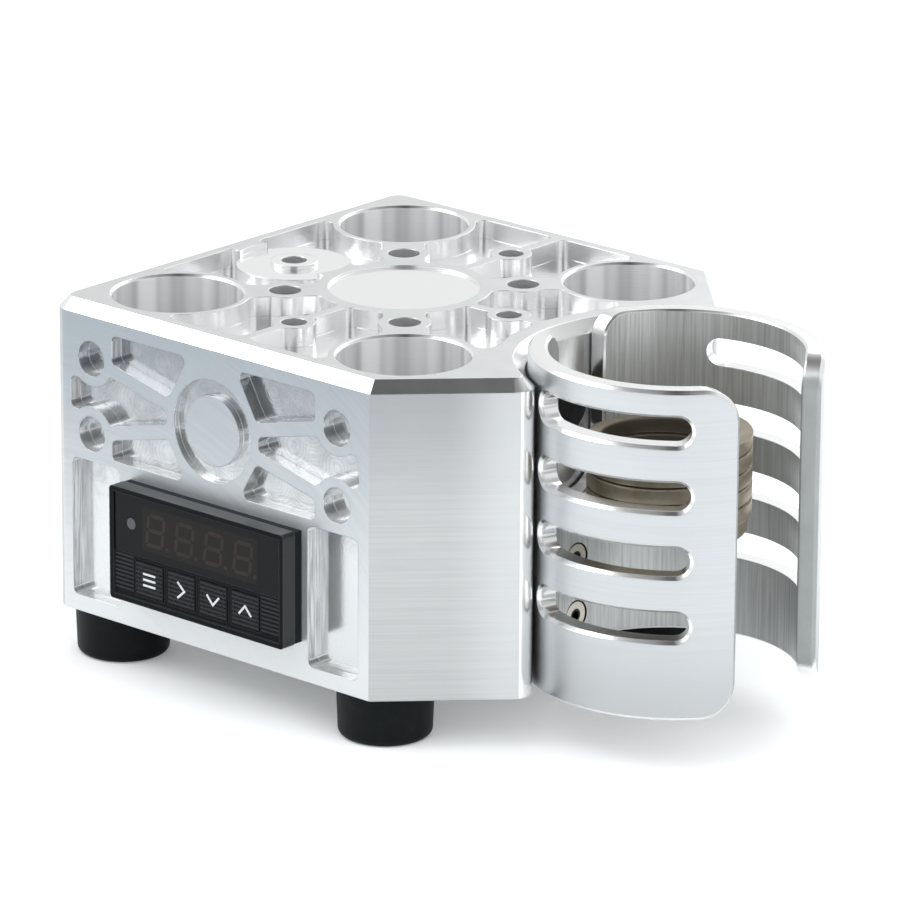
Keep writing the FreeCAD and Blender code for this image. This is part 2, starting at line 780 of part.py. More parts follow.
def block_bores():
    """Bores for heaters, probe, coil lead and screws."""
    into_roof = f"({ROOF} - overcut)"
    tools = [rod("heater_bore", "0", f"{j} * heater_y", into_roof, "heater_radius + fit_gap",
                 f"{TOP} - heater_cover + fit_gap - {into_roof}") for j in SIDES]
    tools.append(rod("probe_bore", "-probe_left", "0", into_roof, "probe_radius + fit_gap",
                     f"{TOP} - probe_cover + fit_gap - {into_roof}"))
    tools.append(rod("lead_hole", f"{WALL_X} + 2 * overcut", "0", LEAD_HOLE_Z, "lead_hole_radius",
                     "lead_hole_depth + 2 * overcut", "-X"))
    tools.append(rod("lead_bore", WALL_X, "0", LEAD_Z, "lead_bore_radius",
                     f"{WALL_X} - lead_shaft_x", "-X"))
    tools.append(rod("lead_shaft", "lead_shaft_x", "0", into_roof, "lead_shaft_radius",
                     f"{LEAD_Z} + lead_bore_radius + overcut - {into_roof}"))
    for x, y, z in guard_screw_spots():
        tools.append(rod("guard_screw_hole", x, y, z, "small_screw_radius + fit_gap",
                         "guard_screw_length + overcut", "-X"))
    for x, y in foot_spots():
        tools.append(rod("foot_screw_hole", x, y, "foot_height - overcut",
                         "foot_screw_radius + fit_gap",
                         "foot_screw_length + foot_head_seat - foot_height + 3 * overcut"))
    for x, y in cover_screw_spots():
        tools.append(rod("cover_screw_hole", x, y, "foot_height - overcut",
                         "small_screw_radius + fit_gap", "cover_screw_length + 2 * overcut"))
    for x, y in base_screw_spots():
        tools.append(rod("base_head_hole", x, y, "foot_height - overcut",
                         "base_head_radius + static_gap", "base_head_sink + overcut"))
        tools.append(rod("base_screw_hole", x, y, "foot_height", "base_screw_radius + fit_gap",
                         f"{SPLIT} + base_screw_bite + overcut - foot_height"))
    return tools


def foot_spots():
    """Centres of the four feet."""
    left = "(foot_left_inset - block_left)"
    side = "(block_half_width - foot_side_inset)"
    return [(x, f"{j} * {side}") for x in (left, "foot_right_x") for j in SIDES]


def cover_screw_spots():
    """Centres of the bottom cover's four screws."""
    return [(f"({PANEL_X} + {i} * ({CAVITY_WIDTH} + cover_side_ledge) / 2)",
             f"{j} * cover_screw_y") for i in SIDES for j in SIDES]


def base_screw_spots():
    """Centres of the four screws that hold the block's lower part to its upper part."""
    return [(x, f"{j} * base_screw_y") for x in ("-base_screw_left", "base_screw_right")
            for j in SIDES]


def heater_block():
    """Upper and lower part of the block, milled flush together, and the screws between them."""
    tools = [top_pockets(), *front_pockets(), *front_details(), *cavity_tools(), *block_bores()]
    whole = cut("milled_block", block_blank(), tools)
    floor = "(foot_height - overcut)"
    for label, low, high in (("heater_block", SPLIT, f"{GUARD_TOP} + overcut"),
                             ("block_base", floor, SPLIT)):
        half = box(label + "_half", "-block_left - overcut", f"{FRONT} - overcut", low,
                   "block_left + clip_reach + overcut", "2 * (block_half_width + overcut)",
                   f"{high} - {low}")
        node(common(label, whole, half), label)
    node(group("base_screws", [base_screw(x, y) for x, y in base_screw_spots()]), "base_screws")


# Screws
def base_screw(x, y):
    """Socket head screw in its sunk seat under the block."""
    seat = "(foot_height + base_head_sink)"
    head = rod("base_head", x, y, f"{seat} - base_head_height", "base_head_radius",
               "base_head_height")
    shank = rod("base_shank", x, y, seat, "base_screw_radius",
                f"{SPLIT} + base_screw_bite - {seat}")
    socket = doc.addObject("Part::Prism", "base_socket")
    bind(socket, Circumradius="base_socket_radius", Height="base_socket_depth")
    moved(socket, x, y, f"{seat} - base_head_height")
    return cut("base_screw", fuse("base_screw_blank", [head, shank]), [socket])


def countersunk_screw(name, x, y, z, length, axis):
    """Countersunk socket screw from its head's face along an axis."""
    head = cone(name + "_head", x, y, z, "small_head_radius", "small_screw_radius",
                "small_head_height", axis)
    shank = rod(name + "_shank", x, y, z, "small_screw_radius", length, axis)
    socket = doc.addObject("Part::Prism", name + "_socket")
    socket.Placement = Placement(Vector(), TURN[axis])
    bind(socket, Circumradius="small_socket_radius", Height="small_socket_depth")
    moved(socket, x, y, z)
    return cut(name, fuse(name + "_blank", [head, shank]), [socket])


def sink(name, x, y, z, axis, length):
    """Clearance for a countersunk screw, with a narrow ring open round its head."""
    head = cone(name + "_sink", x, y, z, "small_head_radius + fit_gap",
                "small_screw_radius + fit_gap", "small_head_height", axis)
    hole = rod(name + "_hole", x, y, z, "small_screw_radius + fit_gap", length, axis)
    start = (f"{x} + overcut", y, z) if axis == "-X" else (x, y, f"{z} - overcut")
    ring = rod(name + "_ring", *start, "small_head_radius + head_ring_gap",
               "head_ring_depth + overcut", axis)
    return [head, hole, ring]


# Guard
def guard_outline(sketch):
    """Guard seen from above: a ring with a gap on the outer side."""
    axis = Vector(size("guard_axis_x"), 0, 0)
    outer = size("guard_radius")
    inner = outer - size("guard_wall")
    gap = math.radians(size("guard_opening") / 2)
    rays = [Vector(math.cos(s * gap), math.sin(s * gap), 0) for s in SIDES]
    for radius in (outer, inner):
        circle = Part.Circle(axis, Vector(0, 0, 1), radius)
        sketch.addGeometry(Part.ArcOfCircle(circle, gap, math.tau - gap))
    for ray in reversed(rays):
        sketch.addGeometry(Part.LineSegment(axis + ray * inner, axis + ray * outer))
    for ends in ((2, 1, 1, 1), (2, 2, 0, 1), (3, 1, 1, 2), (3, 2, 0, 2), (0, 3, 1, 3)):
        sketch.addConstraint(Sketcher.Constraint("Coincident", *ends))
    sketch.addConstraint(Sketcher.Constraint("PointOnObject", 0, 3, -1))
    for index in (2, 3):
        sketch.addConstraint(Sketcher.Constraint("PointOnObject", 0, 3, index))
    for text, *place in (("guard_axis_x", "DistanceX", -1, 1, 0, 3), ("guard_radius", "Radius", 0),
                         ("guard_radius - guard_wall", "Radius", 1),
                         ("guard_opening / 2", "Angle", 2), ("-guard_opening / 2", "Angle", 3)):
        rule(sketch, text, *place)


def notch_outline(sketch):
    """Notch seen along the guard's mounting side: open above, round below."""
    half = size("notch_width") / 2
    top = size("foot_height") + size("block_height") + size("guard_rise")
    turn = top - size("notch_depth") + half
    high = top + size("overcut")
    sketch.addGeometry(Part.LineSegment(Vector(-half, high, 0), Vector(-half, turn, 0)))
    circle = Part.Circle(Vector(0, turn, 0), Vector(0, 0, 1), half)
    sketch.addGeometry(Part.ArcOfCircle(circle, math.pi, math.tau))
    sketch.addGeometry(Part.LineSegment(Vector(half, turn, 0), Vector(half, high, 0)))
    sketch.addGeometry(Part.LineSegment(Vector(half, high, 0), Vector(-half, high, 0)))
    for ends in ((0, 2, 1, 1), (1, 2, 2, 1)):
        sketch.addConstraint(Sketcher.Constraint("Tangent", *ends))
    for ends in ((2, 2, 3, 1), (3, 2, 0, 1)):
        sketch.addConstraint(Sketcher.Constraint("Coincident", *ends))
    for kind, index in (("Vertical", 0), ("Vertical", 2), ("Horizontal", 3)):
        sketch.addConstraint(Sketcher.Constraint(kind, index))
    sketch.addConstraint(Sketcher.Constraint("PointOnObject", 1, 3, -2))
    for text, *place in (("notch_width / 2", "Radius", 1),
                         (f"{GUARD_TOP} - notch_depth + notch_width / 2", "DistanceY", -1, 1, 1, 3),
                         (f"{GUARD_TOP} + overcut", "DistanceY", -1, 1, 2, 2)):
        rule(sketch, text, *place)


def guard_blank():
    """Open tube with rounded free corners and a notch towards the block."""
    body = padded("guard", "XY_Plane", GUARD_BASE, guard_outline, f"{GUARD_TOP} - {GUARD_BASE}")
    axis = size("guard_axis_x")
    top = size("foot_height") + size("block_height") + size("guard_rise")

    def radial(edge):
        ends = edge.Vertexes
        return (len(ends) == 2 and edge.Curve.TypeId == "Part::GeomLine"
                and abs(ends[0].Z - ends[1].Z) < NEAR)

    def free_corner(edge):
        return radial(edge) and middle(edge).x > axis

    def notch_corner(edge):
        return radial(edge) and middle(edge).x < axis and abs(middle(edge).z - top) < NEAR

    dressed(body, "Fillet", "free_corners", free_corner, Radius="guard_corner_radius")
    sketch = sketch_on(body, "YZ_Plane", "notch_sketch", "guard_axis_x")
    notch_outline(sketch)
    feature(body, "Pocket", "notch", sketch, Length="guard_radius + overcut")
    dressed(body, "Fillet", "notch_corners", notch_corner, Radius="notch_corner_radius")
    return body


def slot_tools():
    """Round-ended slots that run part of the way round both sides of the guard."""
    tools = []
    axis = size("guard_axis_x")
    top = size("foot_height") + size("block_height") + size("guard_rise")
    mean = size("guard_radius") - size("guard_wall") / 2
    end_turn = math.degrees(size("slot_width") / 2 / mean)
    start = size("slot_start") + end_turn
    sweep = size("slot_end") - size("slot_start") - 2 * end_turn
    for level in range(int(size("slot_count"))):
        height = top - size("slot_first_drop") - level * size("slot_pitch")
        for first in (start, -start - sweep):
            sector = doc.addObject("Part::Cylinder", "slot")
            bind(sector, Radius="guard_radius + overcut", Height="slot_width")
            sector.Angle = sweep
            low = height - size("slot_width") / 2
            sector.Placement = Placement(Vector(axis, 0, low), Rotation(Vector(0, 0, 1), first))
            tools.append(sector)
            for angle in (first, first + sweep):
                end = doc.addObject("Part::Cylinder", "slot_end")
                bind(end, Radius="slot_width / 2", Height="guard_radius + overcut")
                turn = Rotation(Vector(0, 0, 1), angle).multiply(TURN["X"])
                end.Placement = Placement(Vector(axis, 0, height), turn)
                tools.append(end)
    return tools


def guard_screw_spots():
    """Face centres of the guard's two screw heads, on the inner wall."""
    return [("(guard_axis_x - guard_radius + guard_wall)", "0",
             f"(foot_height + guard_screw_up + {k} * guard_screw_spacing)") for k in range(2)]


def broken_edges(name, base):
    """Guard with small chamfers on every edge of its outer wall and of its inner rims."""
    doc.recompute()
    axis = size("guard_axis_x")
    outer = size("guard_radius")
    inner = outer - size("guard_wall")
    margin = math.degrees(size("overcut") / outer)
    steps = 6

    def spots(edge):
        span = edge.LastParameter - edge.FirstParameter
        return [edge.valueAt(edge.FirstParameter + span * k / steps) for k in range(steps + 1)]

    def all_at(points, radius):
        return all(abs(math.hypot(p.x - axis, p.y) - radius) < CURVE_NEAR for p in points)

    def in_slots(points):
        turns = [abs(math.degrees(math.atan2(p.y, p.x - axis))) for p in points]
        return (min(turns) > size("slot_start") - margin
                and max(turns) < size("slot_end") + margin)

    chosen = []
    for index, edge in enumerate(base.Shape.Edges, 1):
        points = spots(edge)
        if edge.isClosed():
            continue
        if all_at(points, outer):
            chosen.append((index, size("guard_outer_break"), size("guard_outer_break")))
        elif all_at(points, inner) and not in_slots(points):
            chosen.append((index, size("guard_inner_break"), size("guard_inner_break")))
    obj = doc.addObject("Part::Chamfer", name)
    obj.Base = base
    obj.Edges = chosen
    return obj


def coil_guard():
    """Slotted guard and its two screws."""
    tools = slot_tools()
    screws = []
    for spot in guard_screw_spots():
        tools += sink("guard_screw", *spot, "-X", "guard_wall + overcut")
        screws.append(countersunk_screw("guard_screw", *spot, "guard_screw_length", "-X"))
    slotted = cut("slotted_guard", guard_blank(), tools)
    node(broken_edges("coil_guard", slotted), "coil_guard")
    node(group("guard_screws", screws), "guard_screws")


# Coil heater
def arc_edge(start, bend, end):
    """Arc from start to end that is tangent to the lines to their shared bend point."""
    mid = (start + end) / 2
    out = bend - mid
    half = (end - start).Length / 2
    rise = out.Length
    if rise < ROUND_OFF * half:
        return Part.LineSegment(start, end).toShape()
    sag = half * (math.hypot(half, rise) - half) / rise
    return Part.Arc(start, mid + out * (sag / rise), end).toShape()


def biarc(start, start_run, end, end_run):
    """Two arcs that join two points along given directions."""
    step = end - start
    total = start_run + end_run
    turn = 2 * (1 - start_run.dot(end_run))
    along_step = step.dot(total)
    if abs(turn) < ROUND_OFF:
        reach = step.dot(step) / (2 * along_step)
    else:
        inside = along_step ** 2 + turn * step.dot(step)
        reach = (math.sqrt(inside) - along_step) / turn
    first, last = start + start_run * reach, end - end_run * reach
    joint = (first + last) / 2
    return [arc_edge(start, first, joint), arc_edge(joint, last, end)]


def coil_route():
    """Points and directions along the coil, from its closed end to its lead."""
    axis = Vector(size("coil_axis_x"), 0, 0)
    lead_z = size("foot_height") + size("block_height") - size("lead_drop")
    tube, bend = size("coil_tube_radius"), size("coil_bend_radius")
    mean = size("coil_radius")
    last_angle = math.pi - math.asin(bend / (mean + bend))
    quarters = int(size("coil_quarter_turns"))
    stops = []
    for k in range(quarters + 1):
        left = quarters - k
        angle = last_angle - left * math.tau / QUARTERS
        radius = mean - size("coil_end_step") * max(0.0, 1 - k / QUARTERS)
        climb = size("coil_pitch") / math.tau if left else 0.0
        out = Vector(math.cos(angle), math.sin(angle), 0)
        run = Vector(-out.y * radius, out.x * radius, climb).normalize()
        rise = lead_z - left * size("coil_pitch") / QUARTERS
        stops.append((axis + out * radius + Vector(0, 0, rise), run))
    first_point, first_run = stops[0]
    stops.insert(0, (first_point - first_run * 2 * tube, first_run))
    bend_x = axis.x + (mean + bend) * math.cos(last_angle)
    away = Vector(-1, 0, 0)
    stops.append((Vector(bend_x, 0, lead_z), away))
    wall_x = size("guard_axis_x") - size("guard_radius") - size("scallop_gap")
    stops.append((Vector(wall_x - size("lead_hole_depth"), 0, lead_z), away))
    return stops


def least_self_gap(wire, tube):
    """Least clear space between parts of the tube that are not neighbours along it."""
    spacing = tube / 2
    neighbours = 2 * math.tau * tube
    points = wire.discretize(Distance=spacing)
    apart = int(neighbours / spacing)
    least = min((a - b).Length for i, a in enumerate(points) for b in points[i + apart:])
    return least - 2 * tube


def coil_heater():
    """Wound heater coil as one unbroken tube, with its lead's bush in the block."""
    stops = coil_route()
    edges = []
    for (start, start_run), (end, end_run) in zip(stops, stops[1:]):
        step = end - start
        if step.Length - step.dot(start_run) < ROUND_OFF and start_run.isEqual(end_run, ROUND_OFF):
            edges.append(Part.LineSegment(start, end).toShape())
        else:
            edges += biarc(start, start_run, end, end_run)
    wire = Part.Wire(edges)
    tube = size("coil_tube_radius")
    point, run = stops[0]
    ring = Part.Wire(Part.Circle(point, run, tube).toShape())
    coil = doc.addObject("Part::Feature", "coil_heater")
    coil.Shape = wire.makePipeShell([ring], True, False)
    print("least gap of the coil to itself:", round(least_self_gap(wire, tube), 3), "mm")
    node(coil, "coil_heater")
    start = f"{WALL_X} - lead_hole_depth"
    bush = rod("bush", start, "0", LEAD_HOLE_Z, "lead_hole_radius - fit_gap", "lead_bush_length",
               "X")
    bore = rod("bush_bore", start, "0", LEAD_Z, "coil_tube_radius + fit_gap", "lead_hole_depth",
               "X")
    node(cut("coil_lead_bushing", bush, [bore]), "coil_lead_bushing")


# Feet and bottom cover
def foot_profile(sketch):
    """Half section of a rubber foot about its own axis."""
    outline(sketch, [("foot_head_radius + static_gap", "0"),
                     ("foot_radius - foot_taper", "0"), ("foot_radius", "foot_height"),
                     ("foot_screw_radius + fit_gap", "foot_height"),
                     ("foot_screw_radius + fit_gap", "foot_head_seat"),
                     ("foot_head_radius + static_gap", "foot_head_seat")])


def feet():
    """Four rubber feet with their screws."""
    screws = []
    rim = size("foot_radius") - size("foot_taper")

    def lower_rim(edge):
        return (edge.Curve.TypeId == "Part::GeomCircle" and abs(middle(edge).z) < NEAR
                and abs(edge.Curve.Radius - rim) < NEAR)

    for name, (x, y) in zip(FOOT_NAMES, foot_spots()):
        body = doc.addObject("PartDesign::Body", name)
        sketch = sketch_on(body, "XZ_Plane", name + "_sketch")
        foot_profile(sketch)
        turned = feature(body, "Revolution", name + "_turned", sketch)
        turned.ReferenceAxis = (sketch, ["V_Axis"])
        turned.Angle = FULL_TURN
        dressed(body, "Fillet", name + "_round", lower_rim, Radius="foot_round")
        node(moved(body, x, y), name)
        head = rod("foot_head", x, y, "foot_head_seat - foot_head_height", "foot_head_radius",
                   "foot_head_height")
        shank = rod("foot_shank", x, y, "foot_head_seat", "foot_screw_radius",
                    "foot_screw_length")
        slot = box("driver_slot", f"{x} - foot_head_radius", f"{y} - small_socket_depth / 2",
                   "foot_head_seat - foot_head_height", "2 * foot_head_radius",
                   "small_socket_depth", "small_socket_depth")
        screws.append(cut("foot_screw", fuse("foot_screw_blank", [head, shank]), [slot]))
    node(group("foot_screws", screws), "foot_screws")


def bottom_cover():
    """Plate that closes the hollow from below, flush with the block, and its screws."""
    side, end = "(cover_side_ledge - static_gap)", "(cover_end_ledge - static_gap)"
    plate = box("cover_plate", f"{PANEL_X} - {CAVITY_WIDTH} / 2 - {side}",
                f"{FRONT} + front_wall - {end}", "foot_height", f"{CAVITY_WIDTH} + 2 * {side}",
                f"2 * block_half_width - front_wall - rear_wall + 2 * {end}", "cover_thickness")
    screws, holes = [], []
    for x, y in cover_screw_spots():
        holes += sink("cover_screw", x, y, "foot_height", "Z", "cover_thickness + overcut")
        screws.append(countersunk_screw("cover_screw", x, y, "foot_height",
                                        "cover_screw_length", "Z"))
    node(cut("bottom_cover", plate, holes), "bottom_cover")
    node(group("cover_screws", screws), "cover_screws")


# Controller
def key_spots():
    """Names and centres of the four keys, from left to right."""
    return [(name, f"({KEY_X} + {k} * key_pitch)", KEYS_Z) for k, name in enumerate(KEY_NAMES)]


def window_place():
    """Centre height, width and height of the display window's opening."""
    return (f"({PANEL_Z} + bezel_height / 2 - bezel_rim - window_height / 2)",
            "bezel_width - 2 * bezel_rim", "window_height")


def controller_bezel():
    """Front frame with its sunk face and the openings for window, digits and keys."""
    frame = block_about("bezel_frame", PANEL_X, PANEL_Z, "bezel_width", "bezel_height",
                        BEZEL_FRONT, "bezel_depth")
    frame = rounded("bezel_rounded", frame, "bezel_corner", along("y"))
    window_z, window_width, window_height = window_place()
    into = f"{BEZEL_FRONT} - overcut"
    tools = [
        block_about("face_sink", PANEL_X, PANEL_Z, "bezel_width - 2 * bezel_rim",
                    "bezel_height - 2 * bezel_rim", into, "bezel_face_sink + overcut"),
        block_about("window_seat", PANEL_X, window_z, window_width, window_height, into,
                    "bezel_face_sink + window_thickness + overcut"),
        block_about("digit_opening", f"{PANEL_X} + digits_right", window_z,
                    "digits_width + 2 * static_gap", "digits_height + 2 * static_gap", into,
                    "bezel_depth + 2 * overcut"),
        rod("led_opening", LED_X, into, f"{PANEL_Z} + led_up", "led_radius + static_gap",
            "bezel_depth + 2 * overcut", "Y"),
        block_about("key_well", KEYS_X, KEYS_Z,
                    f"{KEYS_RUN} + key_width + 2 * key_flange + 2 * key_gap",
                    "key_height + 2 * key_flange + 2 * key_gap", WEB_BACK, "bezel_depth"),
    ]
    for name, x, z in key_spots():
        tools.append(block_about(name + "_opening", x, z, "key_width + 2 * key_gap",
                                 "key_height + 2 * key_gap", into, "bezel_depth"))
    node(cut("controller_bezel", frame, tools), "controller_bezel")


def controller_front():
    """Window, digits, lamp, gasket, key mat and display board."""
    window_z, window_width, window_height = window_place()
    pane = block_about("window_pane", PANEL_X, window_z, f"{window_width} - 2 * fit_gap",
                       f"{window_height} - 2 * fit_gap", FACE_Y, "window_thickness")
    lamp = (LED_X, FACE_Y, f"{PANEL_Z} + led_up")
    hole = rod("led_hole", *lamp, "led_radius + fit_gap", "window_thickness", "Y")
    node(cut("display_window", pane, [hole]), "display_window")
    board_y = BEZEL_BACK
    node(rod("status_led", *lamp, "led_radius", f"{board_y} - {FACE_Y}", "Y"), "status_led")
    pane_back = f"({FACE_Y} + window_thickness)"
    node(block_about("digit_display", f"{PANEL_X} + digits_right", window_z, "digits_width",
                     "digits_height", pane_back, f"{board_y} - {pane_back}"), "digit_display")
    ring = block_about("gasket_ring", PANEL_X, PANEL_Z, "bezel_width - 2 * gasket_inset",
                       "bezel_height - 2 * gasket_inset", BEZEL_BACK, "gasket_depth")
    opening = block_about("gasket_opening", PANEL_X, PANEL_Z, f"{CASE_WIDTH} + 2 * fit_gap",
                          f"{CASE_HEIGHT} + 2 * fit_gap", BEZEL_BACK, "gasket_depth")
    grooves = [block_about("gasket_groove", PANEL_X,
                           f"({PANEL_Z} + {k} * (bezel_height / 2 - gasket_inset))",
                           "groove_length", "2 * groove_depth", f"{BEZEL_BACK} - overcut",
                           "groove_width + overcut") for k in SIDES]
    node(cut("controller_gasket", ring, [opening, *grooves]), "controller_gasket")
    inner_width = f"{CASE_WIDTH} - 2 * case_wall - 2 * fit_gap"
    inner_height = f"{CASE_HEIGHT} - 2 * case_wall - 2 * fit_gap"
    mat_height = "key_height + 2 * key_flange"
    node(block_about("keypad_mat", KEYS_X, KEYS_Z, f"{KEYS_RUN} + key_width + 2 * key_flange",
                     mat_height, f"{BEZEL_BACK} - mat_depth", "mat_depth"), "keypad_mat")
    node(block_about("display_board", PANEL_X, PANEL_Z, inner_width, inner_height, board_y,
                     "board_thickness"), "display_board")


def keys():
    """Four push keys, each with a flange that keeps it behind the bezel's web."""
    for name, x, z in key_spots():
        cap = block_about(name + "_cap", x, z, "key_width", "key_height",
                          f"{FACE_Y} - fit_gap", "bezel_web + fit_gap + key_flange_depth")
        flange = block_about(name + "_flange", x, z, "key_width + 2 * key_flange - key_gap",
                             "key_height + 2 * key_flange", WEB_BACK, "key_flange_depth")
        node(fuse(name, [cap, flange]), name)


def controller_body():
    """Case behind the panel, its clamp, its main board, transformer and terminals."""
    shell = block_about("case_shell", PANEL_X, PANEL_Z, CASE_WIDTH, CASE_HEIGHT, BEZEL_BACK,
                        "case_length")
    inside = block_about("case_inside", PANEL_X, PANEL_Z, f"{CASE_WIDTH} - 2 * case_wall",
                         f"{CASE_HEIGHT} - 2 * case_wall", f"{BEZEL_BACK} - overcut",
                         "case_length + 2 * overcut")
    node(cut("controller_case", shell, [inside]), "controller_case")
    clamp_y = f"({FRONT} + front_wall)"
    ring = block_about("clamp_ring", PANEL_X, PANEL_Z, CLAMP_WIDTH, CLAMP_HEIGHT, clamp_y,
                       "clamp_depth")
    opening = block_about("clamp_opening", PANEL_X, PANEL_Z, f"{CASE_WIDTH} + 2 * fit_gap",
                          f"{CASE_HEIGHT} + 2 * fit_gap", clamp_y, "clamp_depth")
    node(cut("controller_clamp", ring, [opening]), "controller_clamp")
    inner_width = f"{CASE_WIDTH} - 2 * case_wall - 2 * fit_gap"
    inner_height = f"{CASE_HEIGHT} - 2 * case_wall - 2 * fit_gap"
    board_y = f"({BEZEL_BACK} + board_thickness)"
    board_z = f"({PANEL_Z} - board_drop)"
    board_end = f"({CASE_END} - terminal_length + terminal_proud)"
    node(block_about("main_board", PANEL_X, board_z, inner_width, "board_thickness", board_y,
                     f"{board_end} - {board_y}"), "main_board")
    node(box("transformer", f"{PANEL_X} - transformer_width / 2",
             f"{board_end} - transformer_back - transformer_length",
             f"{board_z} + board_thickness / 2", "transformer_width", "transformer_length",
             "transformer_height"), "transformer")
    strip = block_about("terminal_strip", PANEL_X, PANEL_Z, inner_width, inner_height, board_end,
                        "terminal_length")
    screws = [rod("terminal_hole",
                  f"{PANEL_X} + ({k} - (terminal_count - 1) / 2) * terminal_pitch",
                  f"{board_end} + terminal_length - terminal_proud",
                  f"{PANEL_Z} + {row} * terminal_rise", "terminal_hole_radius",
                  "terminal_proud + overcut", "Y")
              for k in range(int(size("terminal_count"))) for row in SIDES]
    node(cut("terminal_block", strip, screws), "terminal_block")


# Heating, sensing and power entry
def heating():
    """Two cartridge heaters, a temperature probe and a thermal cut-out at the hollow's roof."""
    node(group("cartridge_heaters", [rod("cartridge", "0", f"{j} * heater_y", ROOF,
                                         "heater_radius", f"{TOP} - heater_cover - {ROOF}")
                                     for j in SIDES]), "cartridge_heaters")
    node(rod("temperature_probe", "-probe_left", "0", ROOF, "probe_radius",
             f"{TOP} - probe_cover - {ROOF}"), "temperature_probe")
    y = f"({CASE_END} + terminal_proud + cutout_gap + cutout_radius + cutout_flange)"
    flange = rod("cutout_flange", "cutout_x", y, f"{ROOF} - cutout_flange_thickness",
                 "cutout_radius + cutout_flange", "cutout_flange_thickness")
    cup = rod("cutout_cup", "cutout_x", y, f"{ROOF} - cutout_height", "cutout_radius",
              "cutout_height")
    node(fuse("thermal_cutout", [flange, cup]), "thermal_cutout")


def power_inlet():
    """Three-pin appliance inlet in the rear face."""
    x = "(-inlet_left)"
    flange = block_about("inlet_plate", x, POWER_Z, "inlet_width + 2 * inlet_flange",
                         "inlet_height + 2 * inlet_flange", REAR, "inlet_proud")
    shell = block_about("inlet_shell", x, POWER_Z, "inlet_width", "inlet_height",
                        f"{REAR} - inlet_depth", "inlet_depth + inlet_proud")
    recess = block_about("inlet_recess", x, POWER_Z, "inlet_width - 2 * inlet_wall",
                         "inlet_height - 2 * inlet_wall",
                         f"{REAR} + inlet_proud - inlet_recess", "inlet_recess + overcut")
    upper = size("foot_height") + size("power_up")

    def top_corner(edge):
        return along("y")(edge) and middle(edge).z > upper

    doc.recompute()
    key = doc.addObject("Part::Chamfer", "inlet_key")
    key.Base = recess
    legs = size("inlet_chamfer")
    key.Edges = [(i, legs, legs) for i, edge in enumerate(recess.Shape.Edges, 1)
                 if top_corner(edge)]
    node(cut("power_inlet", fuse("inlet_body", [flange, shell]), [key]), "power_inlet")
    floor = f"{REAR} + inlet_proud - inlet_recess"
    pins = [block_about("pin", f"({x} + {k} * pin_spacing)",
                        f"({POWER_Z} + (1 - 2 * {abs(k)}) * pin_drop)", "pin_width",
                        "pin_height", floor, "pin_length") for k in (-1, 0, 1)]
    node(group("inlet_pins", pins), "inlet_pins")


def power_switch():
    """Rocker switch beside the inlet."""
    x = "switch_right"
    flange = block_about("switch_plate", x, POWER_Z, "switch_width + 2 * switch_flange",
                         "switch_height + 2 * switch_flange", REAR, "switch_proud")
    shell = block_about("switch_shell", x, POWER_Z, "switch_width", "switch_height",
                        f"{REAR} - switch_depth", "switch_depth + switch_proud")
    well = block_about("rocker_well", x, POWER_Z, "rocker_width + 2 * static_gap",
                       "2 * (rocker_half + rocker_gap)",
                       f"{REAR} - rocker_sink - rocker_back - rocker_swing_room",
                       "rocker_sink + rocker_back + rocker_swing_room + switch_proud + overcut")
    node(cut("switch_housing", fuse("switch_body", [flange, shell]), [well]), "switch_housing")

    def rocker_profile(sketch):
        outline(sketch, [("-rocker_back", "-rocker_half"), ("rocker_rise", "-rocker_half"),
                         ("rocker_rise - rocker_dip", "0"), ("rocker_rise", "rocker_half"),
                         ("-rocker_back", "rocker_half")])

    rocker = padded("power_rocker", "YZ_Plane", "-rocker_width / 2", rocker_profile,
                    "rocker_width")
    rocker.Placement = Placement(Vector(), Rotation(Vector(1, 0, 0), -size("rocker_tilt")))
    node(moved(rocker, x, f"{REAR} - rocker_sink", POWER_Z), "power_rocker")


def main():
    """Build every piece, check it and write its file."""
    heater_block()
    coil_guard()
    coil_heater()
    feet()
    bottom_cover()
    controller_bezel()
    controller_front()
    keys()
    controller_body()
    heating()
    power_inlet()
    power_switch()
    doc.recompute()
    for obj in doc.Objects:
        bad = [word for word in obj.State if word in ("Invalid", "Error")]
        if bad:
            raise RuntimeError(f"{obj.Name} is {bad}")
    os.makedirs("parts", exist_ok=True)
    for obj in nodes:
        if obj.Shape.isNull() or not obj.Shape.isValid() or not obj.Shape.Solids:
            raise RuntimeError(f"{obj.Label} has no valid solid")
        obj.Shape.exportStep(f"parts/{obj.Label}.step")
        print(obj.Label, len(obj.Shape.Solids), round(obj.Shape.Volume, 1))


main()
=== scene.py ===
"""Finishes, fine front details, wound coil and studio for the dry block heater."""
import json
import math
from types import SimpleNamespace

import bmesh
import bpy
from bpy.props import FloatProperty, FloatVectorProperty, PointerProperty
from mathutils import Matrix, Vector
from mathutils.bvhtree import BVHTree


